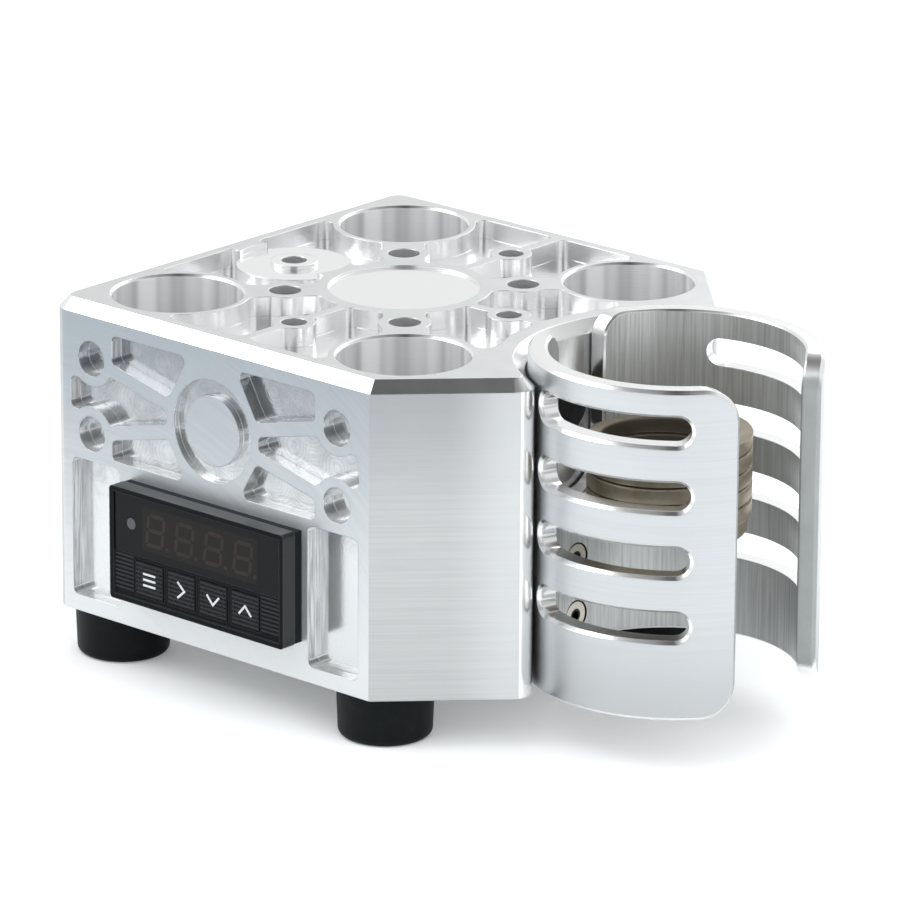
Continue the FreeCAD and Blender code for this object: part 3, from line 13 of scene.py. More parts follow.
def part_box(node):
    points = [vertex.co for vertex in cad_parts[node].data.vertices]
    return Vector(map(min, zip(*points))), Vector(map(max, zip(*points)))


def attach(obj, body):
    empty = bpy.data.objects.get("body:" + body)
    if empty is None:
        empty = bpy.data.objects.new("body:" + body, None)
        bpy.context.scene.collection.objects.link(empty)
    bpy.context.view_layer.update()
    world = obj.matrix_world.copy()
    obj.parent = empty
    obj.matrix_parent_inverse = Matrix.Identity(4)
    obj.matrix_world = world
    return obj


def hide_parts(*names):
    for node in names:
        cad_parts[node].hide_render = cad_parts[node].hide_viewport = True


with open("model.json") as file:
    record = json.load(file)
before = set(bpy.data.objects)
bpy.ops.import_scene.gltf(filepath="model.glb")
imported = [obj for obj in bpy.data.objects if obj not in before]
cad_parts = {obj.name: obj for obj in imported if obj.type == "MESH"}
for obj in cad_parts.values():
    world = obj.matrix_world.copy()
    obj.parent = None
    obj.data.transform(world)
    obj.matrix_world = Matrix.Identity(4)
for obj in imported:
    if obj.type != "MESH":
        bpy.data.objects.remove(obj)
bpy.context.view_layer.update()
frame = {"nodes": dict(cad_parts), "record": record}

bl_info = {
    "name": "Dry block heater",
    "version": (1, 0, 0),
    "blender": (4, 5, 0),
    "location": "3D View > Sidebar > Heater",
    "description": "Dresses the packed heater and sets up its studio",
    "category": "Object",
}

MM = 0.001
SIDES = (-1, 1)
BODY = "heater"
KEYS = ("key_menu", "key_shift", "key_down", "key_up")
FEET = ("foot_front_left", "foot_front_right", "foot_rear_left", "foot_rear_right")
UP = Vector((0, 0, 1))
AIM = Vector((-10.765, 0.242, 45.056)) * MM
CAMERA_PLACE = Vector((883.065, -1005.972, 485.088)) * MM
SENSOR_WIDTH = 36.0


# Sizes and colours that a user may change
def length(name, description, default):
    """Property for a size, given in millimetres and kept in metres."""
    return FloatProperty(name=name, description=description, default=default * MM, min=0.0,
                         precision=5, unit="LENGTH")


def colour(name, description, *default):
    """Property for a linear colour."""
    return FloatVectorProperty(name=name, description=description, default=default, size=3,
                               min=0.0, max=1.0, subtype="COLOR")


def share(name, description, default, top=1.0):
    """Property for a plain number."""
    return FloatProperty(name=name, description=description, default=default, min=0.0, max=top)


class MetalLook(bpy.types.PropertyGroup):
    """Block and guard."""
    bright: colour("Bright metal", "Cut walls and pocket floors", 0.90, 0.905, 0.91)
    top: colour("Top face", "Milled top face", 0.69, 0.71, 0.71)
    # Painted light and shade: the front face runs from the dark bluish tone near its top left to the light
    # tone near its bottom right. The light tone also paints light on the clipped corners and the recess
    # floors.
    lit_front_low: colour("Front, low", "Front face near the bottom", 0.66, 0.68, 0.69)
    shaded_front_high: colour("Front, high", "Front face near the top", 0.30, 0.335, 0.365)
    brushed: colour("Brushed faces", "Clipped corners, left and rear face", 0.51, 0.52, 0.525)
    streak: colour("Streaks", "Dark streaks of the brushed faces", 0.46, 0.47, 0.475)
    bevel: colour("Dark bevel", "Bevel above the clipped corner", 0.72, 0.73, 0.73)
    guard: colour("Guard outside", "Satin outer wall of the guard", 0.575, 0.595, 0.61)
    inside: colour("Guard inside", "Streaked inner wall of the guard", 0.575, 0.59, 0.585)
    ends: colour("Guard ends", "Upright end faces of the guard", 0.25, 0.265, 0.265)
    # Painted shade: the recess floors are darkest at the top left and turn to the lit front tone at the
    # bottom right.
    recess: colour("Recess floor", "Darker tone of the milled recesses", 0.25, 0.27, 0.29)
    cut_marks: colour("Cutter marks", "Lines that the cutter left on the recess floors",
                      0.20, 0.215, 0.23)
    shaded: colour("Shaded sides", "Brushed faces near the top edge", 0.355, 0.365, 0.375)
    edge: length("Edge break", "Rounding that the sharp edges show", 0.3)
    roughness: share("Roughness", "Roughness of the cut faces", 0.22)


class CoilLook(bpy.types.PropertyGroup):
    """Wound coil and its lead."""
    tube: length("Strip half width", "Half the coil strip's width across its turns", 1.5)
    gap: length("Turn gap", "Clear space between two turns", 0.22)
    corner: length("Corner", "Rounding of the strip's corners", 0.45)
    end_step: length("End step", "How far the free end turns inwards", 0.9)
    bend: length("Lead bend", "Radius of the bend into the lead", 5.0)
    lead: length("Lead", "Radius of the thin lead", 0.75)
    ground: length("Ground top", "Depth of the flat top below the middle of the lead's bore", 0.4)
    tail: FloatProperty(name="Tail", description="Angle between the strip's end and the bend",
                        subtype="ANGLE", default=math.radians(60.0))
    turns: FloatProperty(name="Turns", description="Turns of the coil", default=5.5, min=1.0)
    tone: colour("Strip", "Heat-tinted strip", 0.36, 0.32, 0.245)
    dark: colour("Strip shade", "Strip where the heat has darkened it", 0.26, 0.225, 0.165)


class PanelLook(bpy.types.PropertyGroup):
    """Controller front."""
    bezel: colour("Bezel", "Black moulding", 0.0025, 0.0035, 0.005)
    window: colour("Window", "Smooth black film", 0.002, 0.003, 0.0045)
    tint: colour("Window tint", "Brown tint over the digits", 0.009, 0.0075, 0.007)
    digit: colour("Unlit digit", "Segments that are off", 0.022, 0.0175, 0.0165)
    rib: colour("Rib", "Worn top of the ribs", 0.022, 0.024, 0.028)
    mark: colour("Mark", "Printed key marks", 0.62, 0.65, 0.67)
    lamp: colour("Lamp", "Lamp that is off", 0.085, 0.085, 0.095)
    rib_pitch: length("Rib pitch", "Distance between two ribs", 0.88)
    rib_height: length("Rib height", "Height of one rib", 0.42)
    stroke: length("Mark stroke", "Width of the printed strokes", 0.44)
    digit_height: length("Digit height", "Height of one digit", 7.2)
    digit_width: length("Digit width", "Width of one digit", 5.2)
    digit_pitch: length("Digit pitch", "Distance between two digits", 8.05)
    slant: FloatProperty(name="Slant", description="Lean of the digits", subtype="ANGLE",
                         default=math.radians(7.0))


class DarkLook(bpy.types.PropertyGroup):
    """Rubber, plastics and inner pieces."""
    rubber: colour("Rubber", "Feet", 0.003, 0.0045, 0.005)
    plastic: colour("Plastic", "Power entry and inner mouldings", 0.020, 0.020, 0.021)
    board: colour("Board", "Circuit boards", 0.020, 0.110, 0.045)
    winding: colour("Winding case", "Transformer", 0.55, 0.43, 0.08)
    steel: colour("Steel", "Screws and sheaths", 0.62, 0.58, 0.50)
    # Painted shade: this dark tone fills the screws' sockets and the rings round the guard screws' heads.
    socket: colour("Socket", "Depth of the screws' sockets", 0.035, 0.032, 0.028)
    brass: colour("Pin", "Plated pins", 0.70, 0.62, 0.42)


class StageLook(bpy.types.PropertyGroup):
    """Floor, lights and camera."""
    floor: colour("Floor", "Pale floor", 0.74, 0.757, 0.765)
    glow: share("Floor glow", "Light that the floor gives off by itself", 0.16)
    floor_size: length("Floor size", "Side of the floor", 6000.0)
    lens: share("Lens", "Focal length of the camera in millimetres", 277.732, 1000.0)
    roll: FloatProperty(name="Roll", description="Turn of the camera about its own axis",
                        subtype="ANGLE", default=math.radians(0.335))
    sky: share("Sky", "Strength of the surround", 1.0, 10.0)
    key: share("Key light", "Power of the large side light", 9.0, 1000.0)
    fill: share("Fill light", "Power of the light behind", 6.0, 1000.0)
    overhead: share("Overhead light", "Power of the light above the floor", 88.0, 1000.0)


# Shader nodes as expressions
class Signal:
    """Socket of a node tree whose operators add the nodes that work it out."""

    def __init__(self, nodes, socket):
        self.nodes = nodes
        self.socket = socket

    def worked(self, operation, *others):
        """Result of a Math node on this value and others."""
        return self.nodes.add("ShaderNodeMath", {"operation": operation},
                              dict(enumerate((self, *others))))

    def __add__(self, other):
        return self.worked("ADD", other)

    def __sub__(self, other):
        return self.worked("SUBTRACT", other)

    def __rsub__(self, other):
        return self.worked("MULTIPLY", -1.0) + other

    def __mul__(self, other):
        return self.worked("MULTIPLY", other)

    def __neg__(self):
        return self.worked("MULTIPLY", -1.0)

    def __abs__(self):
        return self.worked("ABSOLUTE")

    __radd__ = __add__
    __rmul__ = __mul__


class Nodes:
    """Node tree of a material or a world, and the one shader that it feeds."""

    def __init__(self, owner, shader, **constants):
        owner.use_nodes = True
        self.owner = owner
        self.tree = owner.node_tree
        self.shader = self.tree.nodes[shader]
        for socket, value in constants.items():
            self.shader.inputs[socket.replace("_", " ")].default_value = value

    def add(self, kind, settings=None, inputs=None, output=0):
        """One node: its settings, then its sockets' values or links; gives one output."""
        made = self.tree.nodes.new(kind)
        for name, value in (settings or {}).items():
            if name == "stops":
                self.set_stops(made.color_ramp, value)
            else:
                setattr(made, name, value)
        for name, value in (inputs or {}).items():
            if isinstance(value, Signal):
                self.tree.links.new(value.socket, made.inputs[name])
            else:
                made.inputs[name].default_value = value
        return Signal(self, made.outputs[output])

    @staticmethod
    def set_stops(ramp, stops):
        """Stops of a ramp as pairs of place and grey."""
        while len(ramp.elements) < len(stops):
            ramp.elements.new(1.0)
        for element, (place, grey) in zip(ramp.elements, stops):
            element.position = place
            element.color = (grey, grey, grey, 1.0)

    def feed(self, **signals):
        """Link signals to the shader's own sockets; gives the material or world."""
        for name, signal in signals.items():
            self.tree.links.new(signal.socket, self.shader.inputs[name.replace("_", " ")])
        return self.owner

    def parts(self, vector):
        """The three values of a vector."""
        return [self.add("ShaderNodeSeparateXYZ", None, {0: vector}, axis) for axis in "XYZ"]

    def step(self, value, low, high):
        """Smooth change from 0 at low to 1 at high."""
        return self.add("ShaderNodeMapRange", {"interpolation_type": "SMOOTHSTEP"},
                        {"Value": value, "From Min": low, "From Max": high})


class Finish(Nodes):
    """Material with the nodes that vary it over the surface."""

    def __init__(self, name, **constants):
        super().__init__(bpy.data.materials.new(name), "Principled BSDF", **constants)

    def place(self):
        """Surface point in millimetres, as three values."""
        raw = self.add("ShaderNodeTexCoord", output="Object")
        return self.parts(self.add("ShaderNodeVectorMath", {"operation": "SCALE"},
                                   {0: raw, "Scale": 1 / MM}))

    def facing(self):
        """Surface direction, as three values."""
        return self.parts(self.add("ShaderNodeTexCoord", output="Normal"))

    def vector(self, x, y, z):
        """Three values as one vector."""
        return self.add("ShaderNodeCombineXYZ", None, {"X": x, "Y": y, "Z": z})

    def noise(self, place, waves, detail=2.0, roughness=0.5):
        """Noise from 0 to 1 with so many waves to each unit of a place, for all axes or for each."""
        each = waves if isinstance(waves, tuple) else (waves,) * 3
        vector = self.vector(*(part * wave for part, wave in zip(place, each)))
        return self.add("ShaderNodeTexNoise", None,
                        {"Vector": vector, "Scale": 1.0, "Detail": detail,
                         "Roughness": roughness}, "Fac")

    def meets(self, value, limit):
        """Share that is 1 where a value comes within a skin of its limit."""
        skin = 0.2
        return self.step(value, limit - 2 * skin, limit - skin)

    def blend(self, factor, first, second):
        """Colour between two others."""
        ends = [tuple(end) + (1.0,) if not isinstance(end, Signal) else end
                for end in (first, second)]
        return self.add("ShaderNodeMix", {"data_type": "RGBA"},
                        {0: factor, 6: ends[0], 7: ends[1]}, 2)

    def bump(self, height, depth, strength=1.0, normal=None):
        """Surface direction tilted by a height from 0 to 1 that stands for a depth in mm."""
        inputs = {"Height": height, "Distance": depth * MM, "Strength": strength}
        if normal is not None:
            inputs["Normal"] = normal
        return self.add("ShaderNodeBump", None, inputs)

    def flat(self):
        """Surface direction as it is modelled."""
        return self.add("ShaderNodeNewGeometry", output="Normal")

    def mingle(self, factor, first, second):
        """Direction between two others."""
        return self.add("ShaderNodeMix", {"data_type": "VECTOR"},
                        {0: factor, 4: first, 5: second}, 1)

    def soft_edge(self, radius):
        """Surface direction rounded over sharp edges."""
        return self.add("ShaderNodeBevel", {"samples": 6}, {"Radius": radius})


def from_axis(across, along):
    """Distance from an axis, from the two parts of a place beside it."""
    return (across * across + along * along).worked("SQRT")


def toned(tone, level):
    """Colour that is a share lighter or darker than another."""
    return [part * level for part in tone]


def looks(group):
    """Property group of this scene."""
    return getattr(bpy.context.scene, "heater_" + group)


def dress(material, *names):
    """Give CAD nodes a material."""
    for name in names:
        mesh = frame["nodes"][name].data
        mesh.materials.clear()
        mesh.materials.append(material)


# Finish of the block
def machined_metal(look):
    """Cut aluminium: swept front, brushed sides, milled pocket floors and bored walls, with painted shade
    and light on the front, the recess floors and the brushed sides, and painted reflection bands in the
    wells.
    """
    finish = Finish("machined_metal")
    place = finish.place()
    facing = finish.facing()
    low, high = (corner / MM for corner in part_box("heater_block"))
    faces = block_faces(finish, place, facing, low, high)
    marks = block_marks(finish, place, facing)
    # Ramp from the top left to the bottom right of the front. Painted shade and light on the front face and
    # the recess floors follow it, and the cutter marks fade along it.
    right_slope, down_slope = 0.0015, 0.013
    below_top = high.z - place[2]
    down_right = (place[0] - low.x) * right_slope + below_top * down_slope
    cut_share = 1 - finish.step(down_right, 0.2, 0.7) * 0.75
    tones = block_tones(finish, look, faces, marks, down_right, cut_share, below_top)
    tone = look.bright
    for name in ("top", "recess", "front", "outside", "bevel", "wells", "fluted"):
        tone = finish.blend(getattr(faces, name), tone, tones[name])
    rough = (look.roughness + faces.outside * 0.12 + faces.top * 0.08 + faces.front * 0.16
             - faces.floors * 0.06 + (marks.mottled - 0.5) * 0.08 + (marks.fine - 0.5) * 0.06)
    dull = (faces.wells * 0.55 + (faces.walls - faces.wells) * 0.1
            + (faces.walls * 0.4 + faces.floors * 0.25) * faces.shallow + faces.front * 0.4)
    seam = 1 - finish.step(abs(place[2] - low.z), 0.35, 0.7)
    edged = finish.mingle(seam, finish.soft_edge(look.edge), finish.flat())
    lined = faces.walls + faces.wells * 3.0 + faces.outside * 0.4
    lines = finish.bump(marks.brushed * faces.outside + marks.fine * lined, 0.012, 0.7, edged)
    sweeps = finish.bump(marks.swept * faces.front, 0.008, 0.5, lines)
    waves = finish.bump(marks.wavy * (faces.floors - faces.recess * 0.8)
                        + marks.swirls * faces.recess * cut_share * 0.25, 0.04, 0.8, sweeps)
    return finish.feed(Base_Color=tone, Roughness=rough, Metallic=1 - dull, Normal=waves)


def block_faces(finish, place, facing, low, high):
    """Shares that are 1 on one kind of the block's faces and fade out beside it."""
    x, y, z = place
    nx, ny, nz = facing
    behind = y - low.y
    pocket_start, pocket_end, corner = (0.5, 0.8), (3.2, 3.6), (4.6, 5.0)
    up = finish.step(nz, 0.8, 0.95)
    level = 1 - finish.step(abs(nz), 0.05, 0.2)
    ahead = level * finish.step(-ny, 0.8, 0.95)
    deep = finish.step(behind, *pocket_end)
    top = up * finish.meets(z, high.z)
    front = ahead * finish.meets(-y, -low.y)
    recess = ahead * (finish.step(behind, *pocket_start) - deep)
    clips, lit = clipped_corners(finish, x, y)
    corners = ((1 - finish.step(x - low.x, *corner))
               * (2 - finish.step(behind, *corner) - finish.step(high.y - y, *corner)))
    sides = finish.meets(-x, -low.x) + finish.meets(y, high.y) + clips
    outside = finish.step(level * sides + (level - front) * corners, 0.0, 1.0)
    walls = finish.step(level - front - recess - outside, 0.0, 1.0)
    wells = walls * finish.step(in_wells(finish, x, y), 0.0, 1.0)
    bevel = (finish.step(nz, 0.3, 0.5) - finish.step(nz, 0.85, 0.95)) * finish.step(nx, 0.3, 0.4)
    shallow = 1 - deep
    return SimpleNamespace(top=top, front=front, recess=recess, outside=outside, lit=level * lit,
                           walls=walls, floors=recess + up - top, wells=wells, shallow=shallow,
                           fluted=walls * shallow, bevel=bevel)


def clipped_corners(finish, x, y):
    """Shares of both clipped corners, and of their outer halves alone, which take painted light."""
    spots = [vertex.co / MM for vertex in frame["nodes"]["heater_block"].data.vertices]
    clips = lit = 0.0
    for side in SIDES:
        reach = max(spot.x + side * spot.y for spot in spots)
        along = [spot.x - side * spot.y for spot in spots if spot.x + side * spot.y > reach - 0.1]
        clip = finish.meets(x + side * y, reach)
        clips = clip + clips
        lit = clip * finish.step(x - side * y, (min(along) + max(along)) / 2, max(along)) + lit
    return clips, lit


def in_wells(finish, x, y):
    """Share that is 1 within the wells that the record lists."""
    inside = 0.0
    for mount in frame["record"]["mounts"]:
        if mount["kind"] == "bore":
            across, along = (part - place / MM for part, place in zip((x, y), mount["pos_m"]))
            radius = mount["dims"]["r_mm"]
            inside = finish.meets(-from_axis(across, along), -radius) + inside
    return inside


def block_marks(finish, place, facing):
    """Marks of the tools, as noises from 0 to 1."""
    x, y, z = place
    centre_x, centre_z = -62.0, -28.0
    sweep_x, sweep_z = x - centre_x, z - centre_z
    mottled = finish.noise(place, 0.22, 3.0, 0.6)
    apart = finish.add("ShaderNodeTexVoronoi", {"feature": "F1"},
                       {"Vector": finish.vector(x * 0.16, y * 0.16, z * 0.16), "Scale": 1.0}, "Distance")
    return SimpleNamespace(
        brushed=finish.noise(place, (0.02, 0.02, 2.4), 3.0, 0.75),
        fine=finish.noise(place, (0.05, 0.05, 9.0), 1.0),
        swept=finish.noise((from_axis(sweep_x, sweep_z), sweep_x, sweep_z), (1.1, 0.03, 0.03), 3.0, 0.7),
        mottled=mottled,
        wavy=finish.noise(place, 0.5),
        swirls=(apart * 8.0 + mottled * 2.0).worked("PINGPONG", 0.5) * 2.0,
        # Painted reflection: bands that follow the wall's direction, for the bright and dark streaks that
        # the bores reflect.
        reflection_bands=finish.noise((facing[0], facing[1], 0.0), 3.6, 1.0),
        fluted=finish.noise(place, (0.1, 4.0, 0.1), 2.0, 0.6))


def block_tones(finish, look, faces, marks, down_right, cut_share, below_top):
    """Colours of the block's kinds of faces."""
    # Painted shade and light on the front face, dark at the top left and light at the bottom right.
    front = finish.blend(finish.step(down_right + (marks.swept - 0.5) * 0.25, 0.0, 1.0),
                         look.shaded_front_high, look.lit_front_low)
    outside = finish.blend(finish.step(marks.brushed, 0.35, 0.68), look.brushed, look.streak)
    # Painted shade darkens the brushed faces towards the top edge, and painted light brightens the outer
    # halves of the clipped corners.
    outside = finish.blend(finish.step(below_top, 32.0, 0.0), outside, look.shaded)
    outside = finish.blend(faces.lit * 0.6, outside, look.lit_front_low)
    # Painted shade on the recess floors, along the same ramp as the front face.
    recess = finish.blend(finish.step(down_right + (marks.mottled - 0.5) * 0.4, 0.05, 0.7),
                          look.recess, look.lit_front_low)
    recess = finish.blend(finish.step(marks.swirls, 0.5, 0.0) * cut_share * 0.3, recess, look.cut_marks)
    return {"top": finish.blend(marks.mottled, toned(look.top, 0.95), toned(look.top, 1.08)),
            "recess": recess,
            "front": front,
            "outside": outside,
            "bevel": look.bevel,
            # Painted reflection bands on the well walls.
            "wells": finish.blend(finish.step(marks.reflection_bands, 0.35, 0.74), look.bright, look.brushed),
            "fluted": finish.blend(finish.step(marks.fluted, 0.42, 0.6), look.bright, look.streak)}


# Finishes of the other pieces
def satin_guard(look):
    """Guard metal: brushed round the outside with painted shade near its foot, upright inside, bright slots
    and rims, and painted shadow round the screw heads.
    """
    finish = Finish("satin_guard")
    place = x, y, z = finish.place()
    nx, ny, nz = finish.facing()
    low, high = (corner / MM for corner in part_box("coil_guard"))
    axis_x, axis_y = low.x + (high.y - low.y) / 2, (low.y + high.y) / 2
    across, along = x - axis_x, y - axis_y
    radius = from_axis(across, along)
    angle = along.worked("ARCTAN2", across)
    opening = min(abs(math.atan2(vertex.co.y / MM - axis_y, vertex.co.x / MM - axis_x))
                  for vertex in frame["nodes"]["coil_guard"].data.vertices)
    out = (nx * across + ny * along).worked("DIVIDE", radius)
    outer = finish.step(out, 0.85, 0.95)
    inner = finish.step(-out, 0.85, 0.95)
    brink = (1 - outer - inner) * (1 - finish.step(abs(angle), opening + 0.02, opening + 0.05))
    ends = brink * (1 - finish.step(abs(nz), 0.5, 0.8))
    rounds = finish.noise((angle, 0.0, z), (0.4, 0.0, 2.6), 3.0, 0.75)
    upright = finish.noise((angle, 0.0, z), (42.0, 0.0, 0.035), 3.0, 0.75)
    fine = finish.noise((angle, radius, z), (1.2, 4.0, 7.0), 1.0)
    wiped = finish.noise(place, (0.2, 0.2, 0.12), 3.0, 0.6)
    outer_tone = finish.blend(finish.step(rounds, 0.4, 0.72), look.guard, toned(look.guard, 0.94))
    # Painted shade: the outer wall darkens towards its foot.
    outer_tone = finish.blend(finish.step(z, low.z + 24.0, low.z), outer_tone, toned(look.guard, 0.82))
    inner_tone = finish.blend(finish.step(upright, 0.36, 0.68), look.inside, toned(look.inside, 0.72))
    tone = finish.blend(outer, look.bright, outer_tone)
    tone = finish.blend(inner, tone, inner_tone)
    tone = finish.blend(ends, tone, finish.blend(wiped, look.ends, toned(look.ends, 1.5)))
    # Painted shadow: a dark ring round each screw head, where the gap round it lies in shade.
    tone = finish.blend(1 - finish.step(from_screws(finish, y, z), 1.1, 1.16), tone,
                        looks("dark").socket)
    rough = 0.2 + outer * 0.16 + inner * 0.14 + ends * 0.1 + (fine - 0.5) * 0.08
    lines = finish.bump(rounds * outer * 0.5 + upright * inner, 0.012, 0.6, finish.soft_edge(look.edge))
    return finish.feed(Base_Color=tone, Roughness=rough, Normal=lines,
                       Metallic=1 - brink * 0.6 - inner * 0.35)


def from_screws(finish, y, z):
    """Distance from the axis of the nearest guard screw, as a share of its head's radius."""
    low, high = (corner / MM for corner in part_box("guard_screws"))
    head = (high.y - low.y) / 2
    middle = (low.z + high.z) / 2
    rise = abs(z - middle) - (high.z - head - middle)
    return from_axis(y - (low.y + head), rise) * (1 / head)


def heat_tinted(look):
    """Coil strip: drawn lines along the turns, darker patches from the heat, and painted shade on the
    turns' inner side.
    """
    finish = Finish("heat_tinted_strip", Metallic=0.7)
    place = x, y, z = finish.place()
    drawn = finish.noise(place, (0.1, 0.1, 5.0), 2.0, 0.6)
    patches = finish.noise(place, (0.14, 0.14, 0.2), 3.0, 0.6)
    low, high = (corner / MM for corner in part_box("coil_heater"))
    tube = look.tube / MM
    mean = (high.y - low.y) / 2 - tube
    radius = from_axis(x - (high.x - tube - mean), y - (low.y + high.y) / 2)
    # Painted shade: the inner side of the turns, which faces the coil's axis, is much darker.
    within = 1 - finish.step(radius, mean - tube, mean - 0.6 * tube)
    tone = finish.blend(finish.step(patches, 0.38, 0.72), look.tone, look.dark)
    tone = finish.blend(within, tone, toned(look.dark, 0.35))
    rough = 0.44 + (drawn - 0.5) * 0.2
    return finish.feed(Base_Color=tone, Roughness=rough, Normal=finish.bump(drawn, 0.02, 0.5))


def moulded(name, tone, roughness=0.42, specular=0.12, edge=0.0):
    """Moulded plastic with a fine grain, and if asked with glossy sides and pale rounded edges that are
    painted highlights.
    """
    grain, pitch = 0.012, 3.0
    finish = Finish(name, Specular_IOR_Level=specular, Coat_Roughness=0.3)
    place = finish.place()
    grains = finish.noise(place, pitch, 2.0, 0.6)
    cloud = finish.noise(place, 0.12)
    colours = finish.blend(cloud, toned(tone, 0.85), toned(tone, 1.15))
    normal = finish.flat()
    if edge:
        normal = finish.soft_edge(edge)
        level = finish.add("ShaderNodeVectorMath", {"operation": "DOT_PRODUCT"},
                           {0: normal, 1: finish.flat()}, "Value")
        # Painted highlight: the rounded edges are lighter, as if they caught the light.
        wear_and_highlight = [0.05 + part for part in tone]
        colours = finish.blend(1 - finish.step(level, 0.75, 0.98), colours, wear_and_highlight)
        finish.feed(Coat_Weight=1 - finish.step(-finish.facing()[1], 0.5, 0.9))
    rough = roughness + (grains - 0.5) * 0.12 + (cloud - 0.5) * 0.1
    return finish.feed(Base_Color=colours, Roughness=rough,
                       Normal=finish.bump(grains, grain, 0.7, normal))


def foot_rubber(look):
    """Rubber with a dusty bloom and moulding lines round the foot."""
    finish = Finish("foot_rubber_black", Specular_IOR_Level=0.12)
    place = finish.place()
    bloom = finish.noise(place, 0.25, 4.0, 0.65)
    rings = finish.noise(place, (0.03, 0.03, 2.2), 2.0, 0.6)
    dusty = [0.008 + 1.6 * part for part in look.rubber]
    tone = finish.blend(finish.step(bloom, 0.45, 0.85) * 0.5, look.rubber, dusty)
    rough = 0.5 + (bloom - 0.5) * 0.25
    return finish.feed(Base_Color=tone, Roughness=rough, Normal=finish.bump(rings, 0.03, 0.5))


def plain_metal(name, tone, roughness=0.32):
    """Turned or rolled small metal piece with fine lines and handling marks."""
    finish = Finish(name, Metallic=1.0)
    place = finish.place()
    turned = finish.noise(place, 2.5, 3.0, 0.6)
    wear_and_highlight = finish.step(finish.noise(place, 0.4), 0.3, 0.7)
    return finish.feed(Base_Color=finish.blend(wear_and_highlight, toned(tone, 0.8), toned(tone, 1.1)),
                       Roughness=roughness + (turned - 0.5) * 0.16,
                       Normal=finish.bump(turned, 0.01, 0.5))


def socket_screw(look, node):
    """Tinted steel head, with painted shade in the depth of the socket."""
    finish = Finish("screw_head", Metallic=1.0)
    place = x, y, z = finish.place()
    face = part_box(node)[1].x / MM
    turned = finish.noise(place, 2.0, 3.0, 0.6)
    head = finish.blend(turned, toned(look.steel, 0.8), look.steel)
    # Painted shade: a dark disc fills the socket's depth.
    outer = finish.step(x, face - 0.5, face - 0.2) * finish.step(from_screws(finish, y, z), 0.46, 0.54)
    return finish.feed(Base_Color=finish.blend(outer, look.socket, head),
                       Roughness=0.3 + (turned - 0.5) * 0.16)


def tinted_window(look):
    """Glossy film over the display: brown where the digits are, black round them."""
    finish = Finish("tinted_window", Specular_IOR_Level=0.13)
    place = x, y, z = finish.place()
    low, high = (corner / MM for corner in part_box("digit_display"))
    inside = (finish.step(x, low.x - 0.3, low.x + 0.5) * (1 - finish.step(x, high.x - 0.5, high.x + 0.3))
              * finish.step(z, low.z - 0.2, low.z + 0.4)
              * (1 - finish.step(z, high.z - 0.4, high.z + 0.2)))
    smear = finish.noise(place, (0.15, 0.15, 0.3), 3.0, 0.6)
    return finish.feed(Base_Color=finish.blend(inside, look.window, look.tint),
                       Roughness=0.14 + smear * 0.12, Normal=finish.bump(smear, 0.004, 0.4))


def printed(name, tone):
    """Printed mark with thin and thick spots in the ink."""
    finish = Finish(name, Specular_IOR_Level=0.3)
    ink = finish.noise(finish.place(), 1.4, 3.0, 0.6)
    return finish.feed(Base_Color=finish.blend(finish.step(ink, 0.3, 0.6), toned(tone, 0.82), tone),
                       Roughness=0.5 + (ink - 0.5) * 0.2)


def pale_floor(look):
    """Even pale light table with the faintest unevenness."""
    finish = Finish("pale_floor", Specular_IOR_Level=0.1, Emission_Strength=look.glow,
                    Emission_Color=(1.0, 1.0, 1.0, 1.0))
    cloud = finish.noise(finish.place(), (0.004, 0.004, 1.0))
    return finish.feed(Base_Color=finish.blend(cloud, look.floor, toned(look.floor, 0.985)),
                       Roughness=0.8 + cloud * 0.1)


# Meshes
def new_piece(name, build, material, body):
    """Object from a mesh that a function builds, riding on a body."""
    mesh = bpy.data.meshes.new(name)
    work = bmesh.new()
    build(work)
    bmesh.ops.recalc_face_normals(work, faces=work.faces)
    work.to_mesh(mesh)
    work.free()
    mesh.materials.append(material)
    piece = bpy.data.objects.new(name, mesh)
    bpy.context.scene.collection.objects.link(piece)
    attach(piece, body)
    return piece


def prism(work, outline, near, far):
    """Solid between two depths along Y with an outline of x and z."""
    rings = [[work.verts.new((x, y, z)) for x, z in outline] for y in (near, far)]
    work.faces.new(rings[0])
    work.faces.new(rings[1])
    count = len(outline)
    for i in range(count):
        k = (i + 1) % count
        work.faces.new((rings[0][i], rings[0][k], rings[1][k], rings[1][i]))


def swept_loop(work, sections, closed):
    """Skin through sections of equal length; closed joins the last to the first."""
    rings = [[work.verts.new(point) for point in section] for section in sections]
    pairs = list(zip(rings, rings[1:]))
    if closed:
        pairs.append((rings[-1], rings[0]))
    else:
        work.faces.new(rings[0])
        work.faces.new(rings[-1])
    for first, second in pairs:
        for i in range(len(first)):
            k = (i + 1) % len(first)
            work.faces.new((first[i], first[k], second[k], second[i]))


def circle(x, z, radius, count):
    """Points round a circle in x and z."""
    turns = [math.tau * i / count for i in range(count)]
    return [(x + radius * math.cos(turn), z + radius * math.sin(turn)) for turn in turns]


def stroke(points, width):
    """Outline of a bent line of even width with mitred corners."""
    spots = [Vector(point) for point in points]
    runs = [(b - a).normalized() for a, b in zip(spots, spots[1:])]
    sides = ([], [])
    for i, spot in enumerate(spots):
        near = runs[max(i - 1, 0)]
        far = runs[min(i, len(runs) - 1)]
        normal = Vector((-near.y - far.y, near.x + far.x)).normalized()
        reach = width / 2 / normal.dot(Vector((-near.y, near.x)))
        sides[0].append(spot + normal * reach)
        sides[1].append(spot - normal * reach)
    return sides[0] + sides[1][::-1]


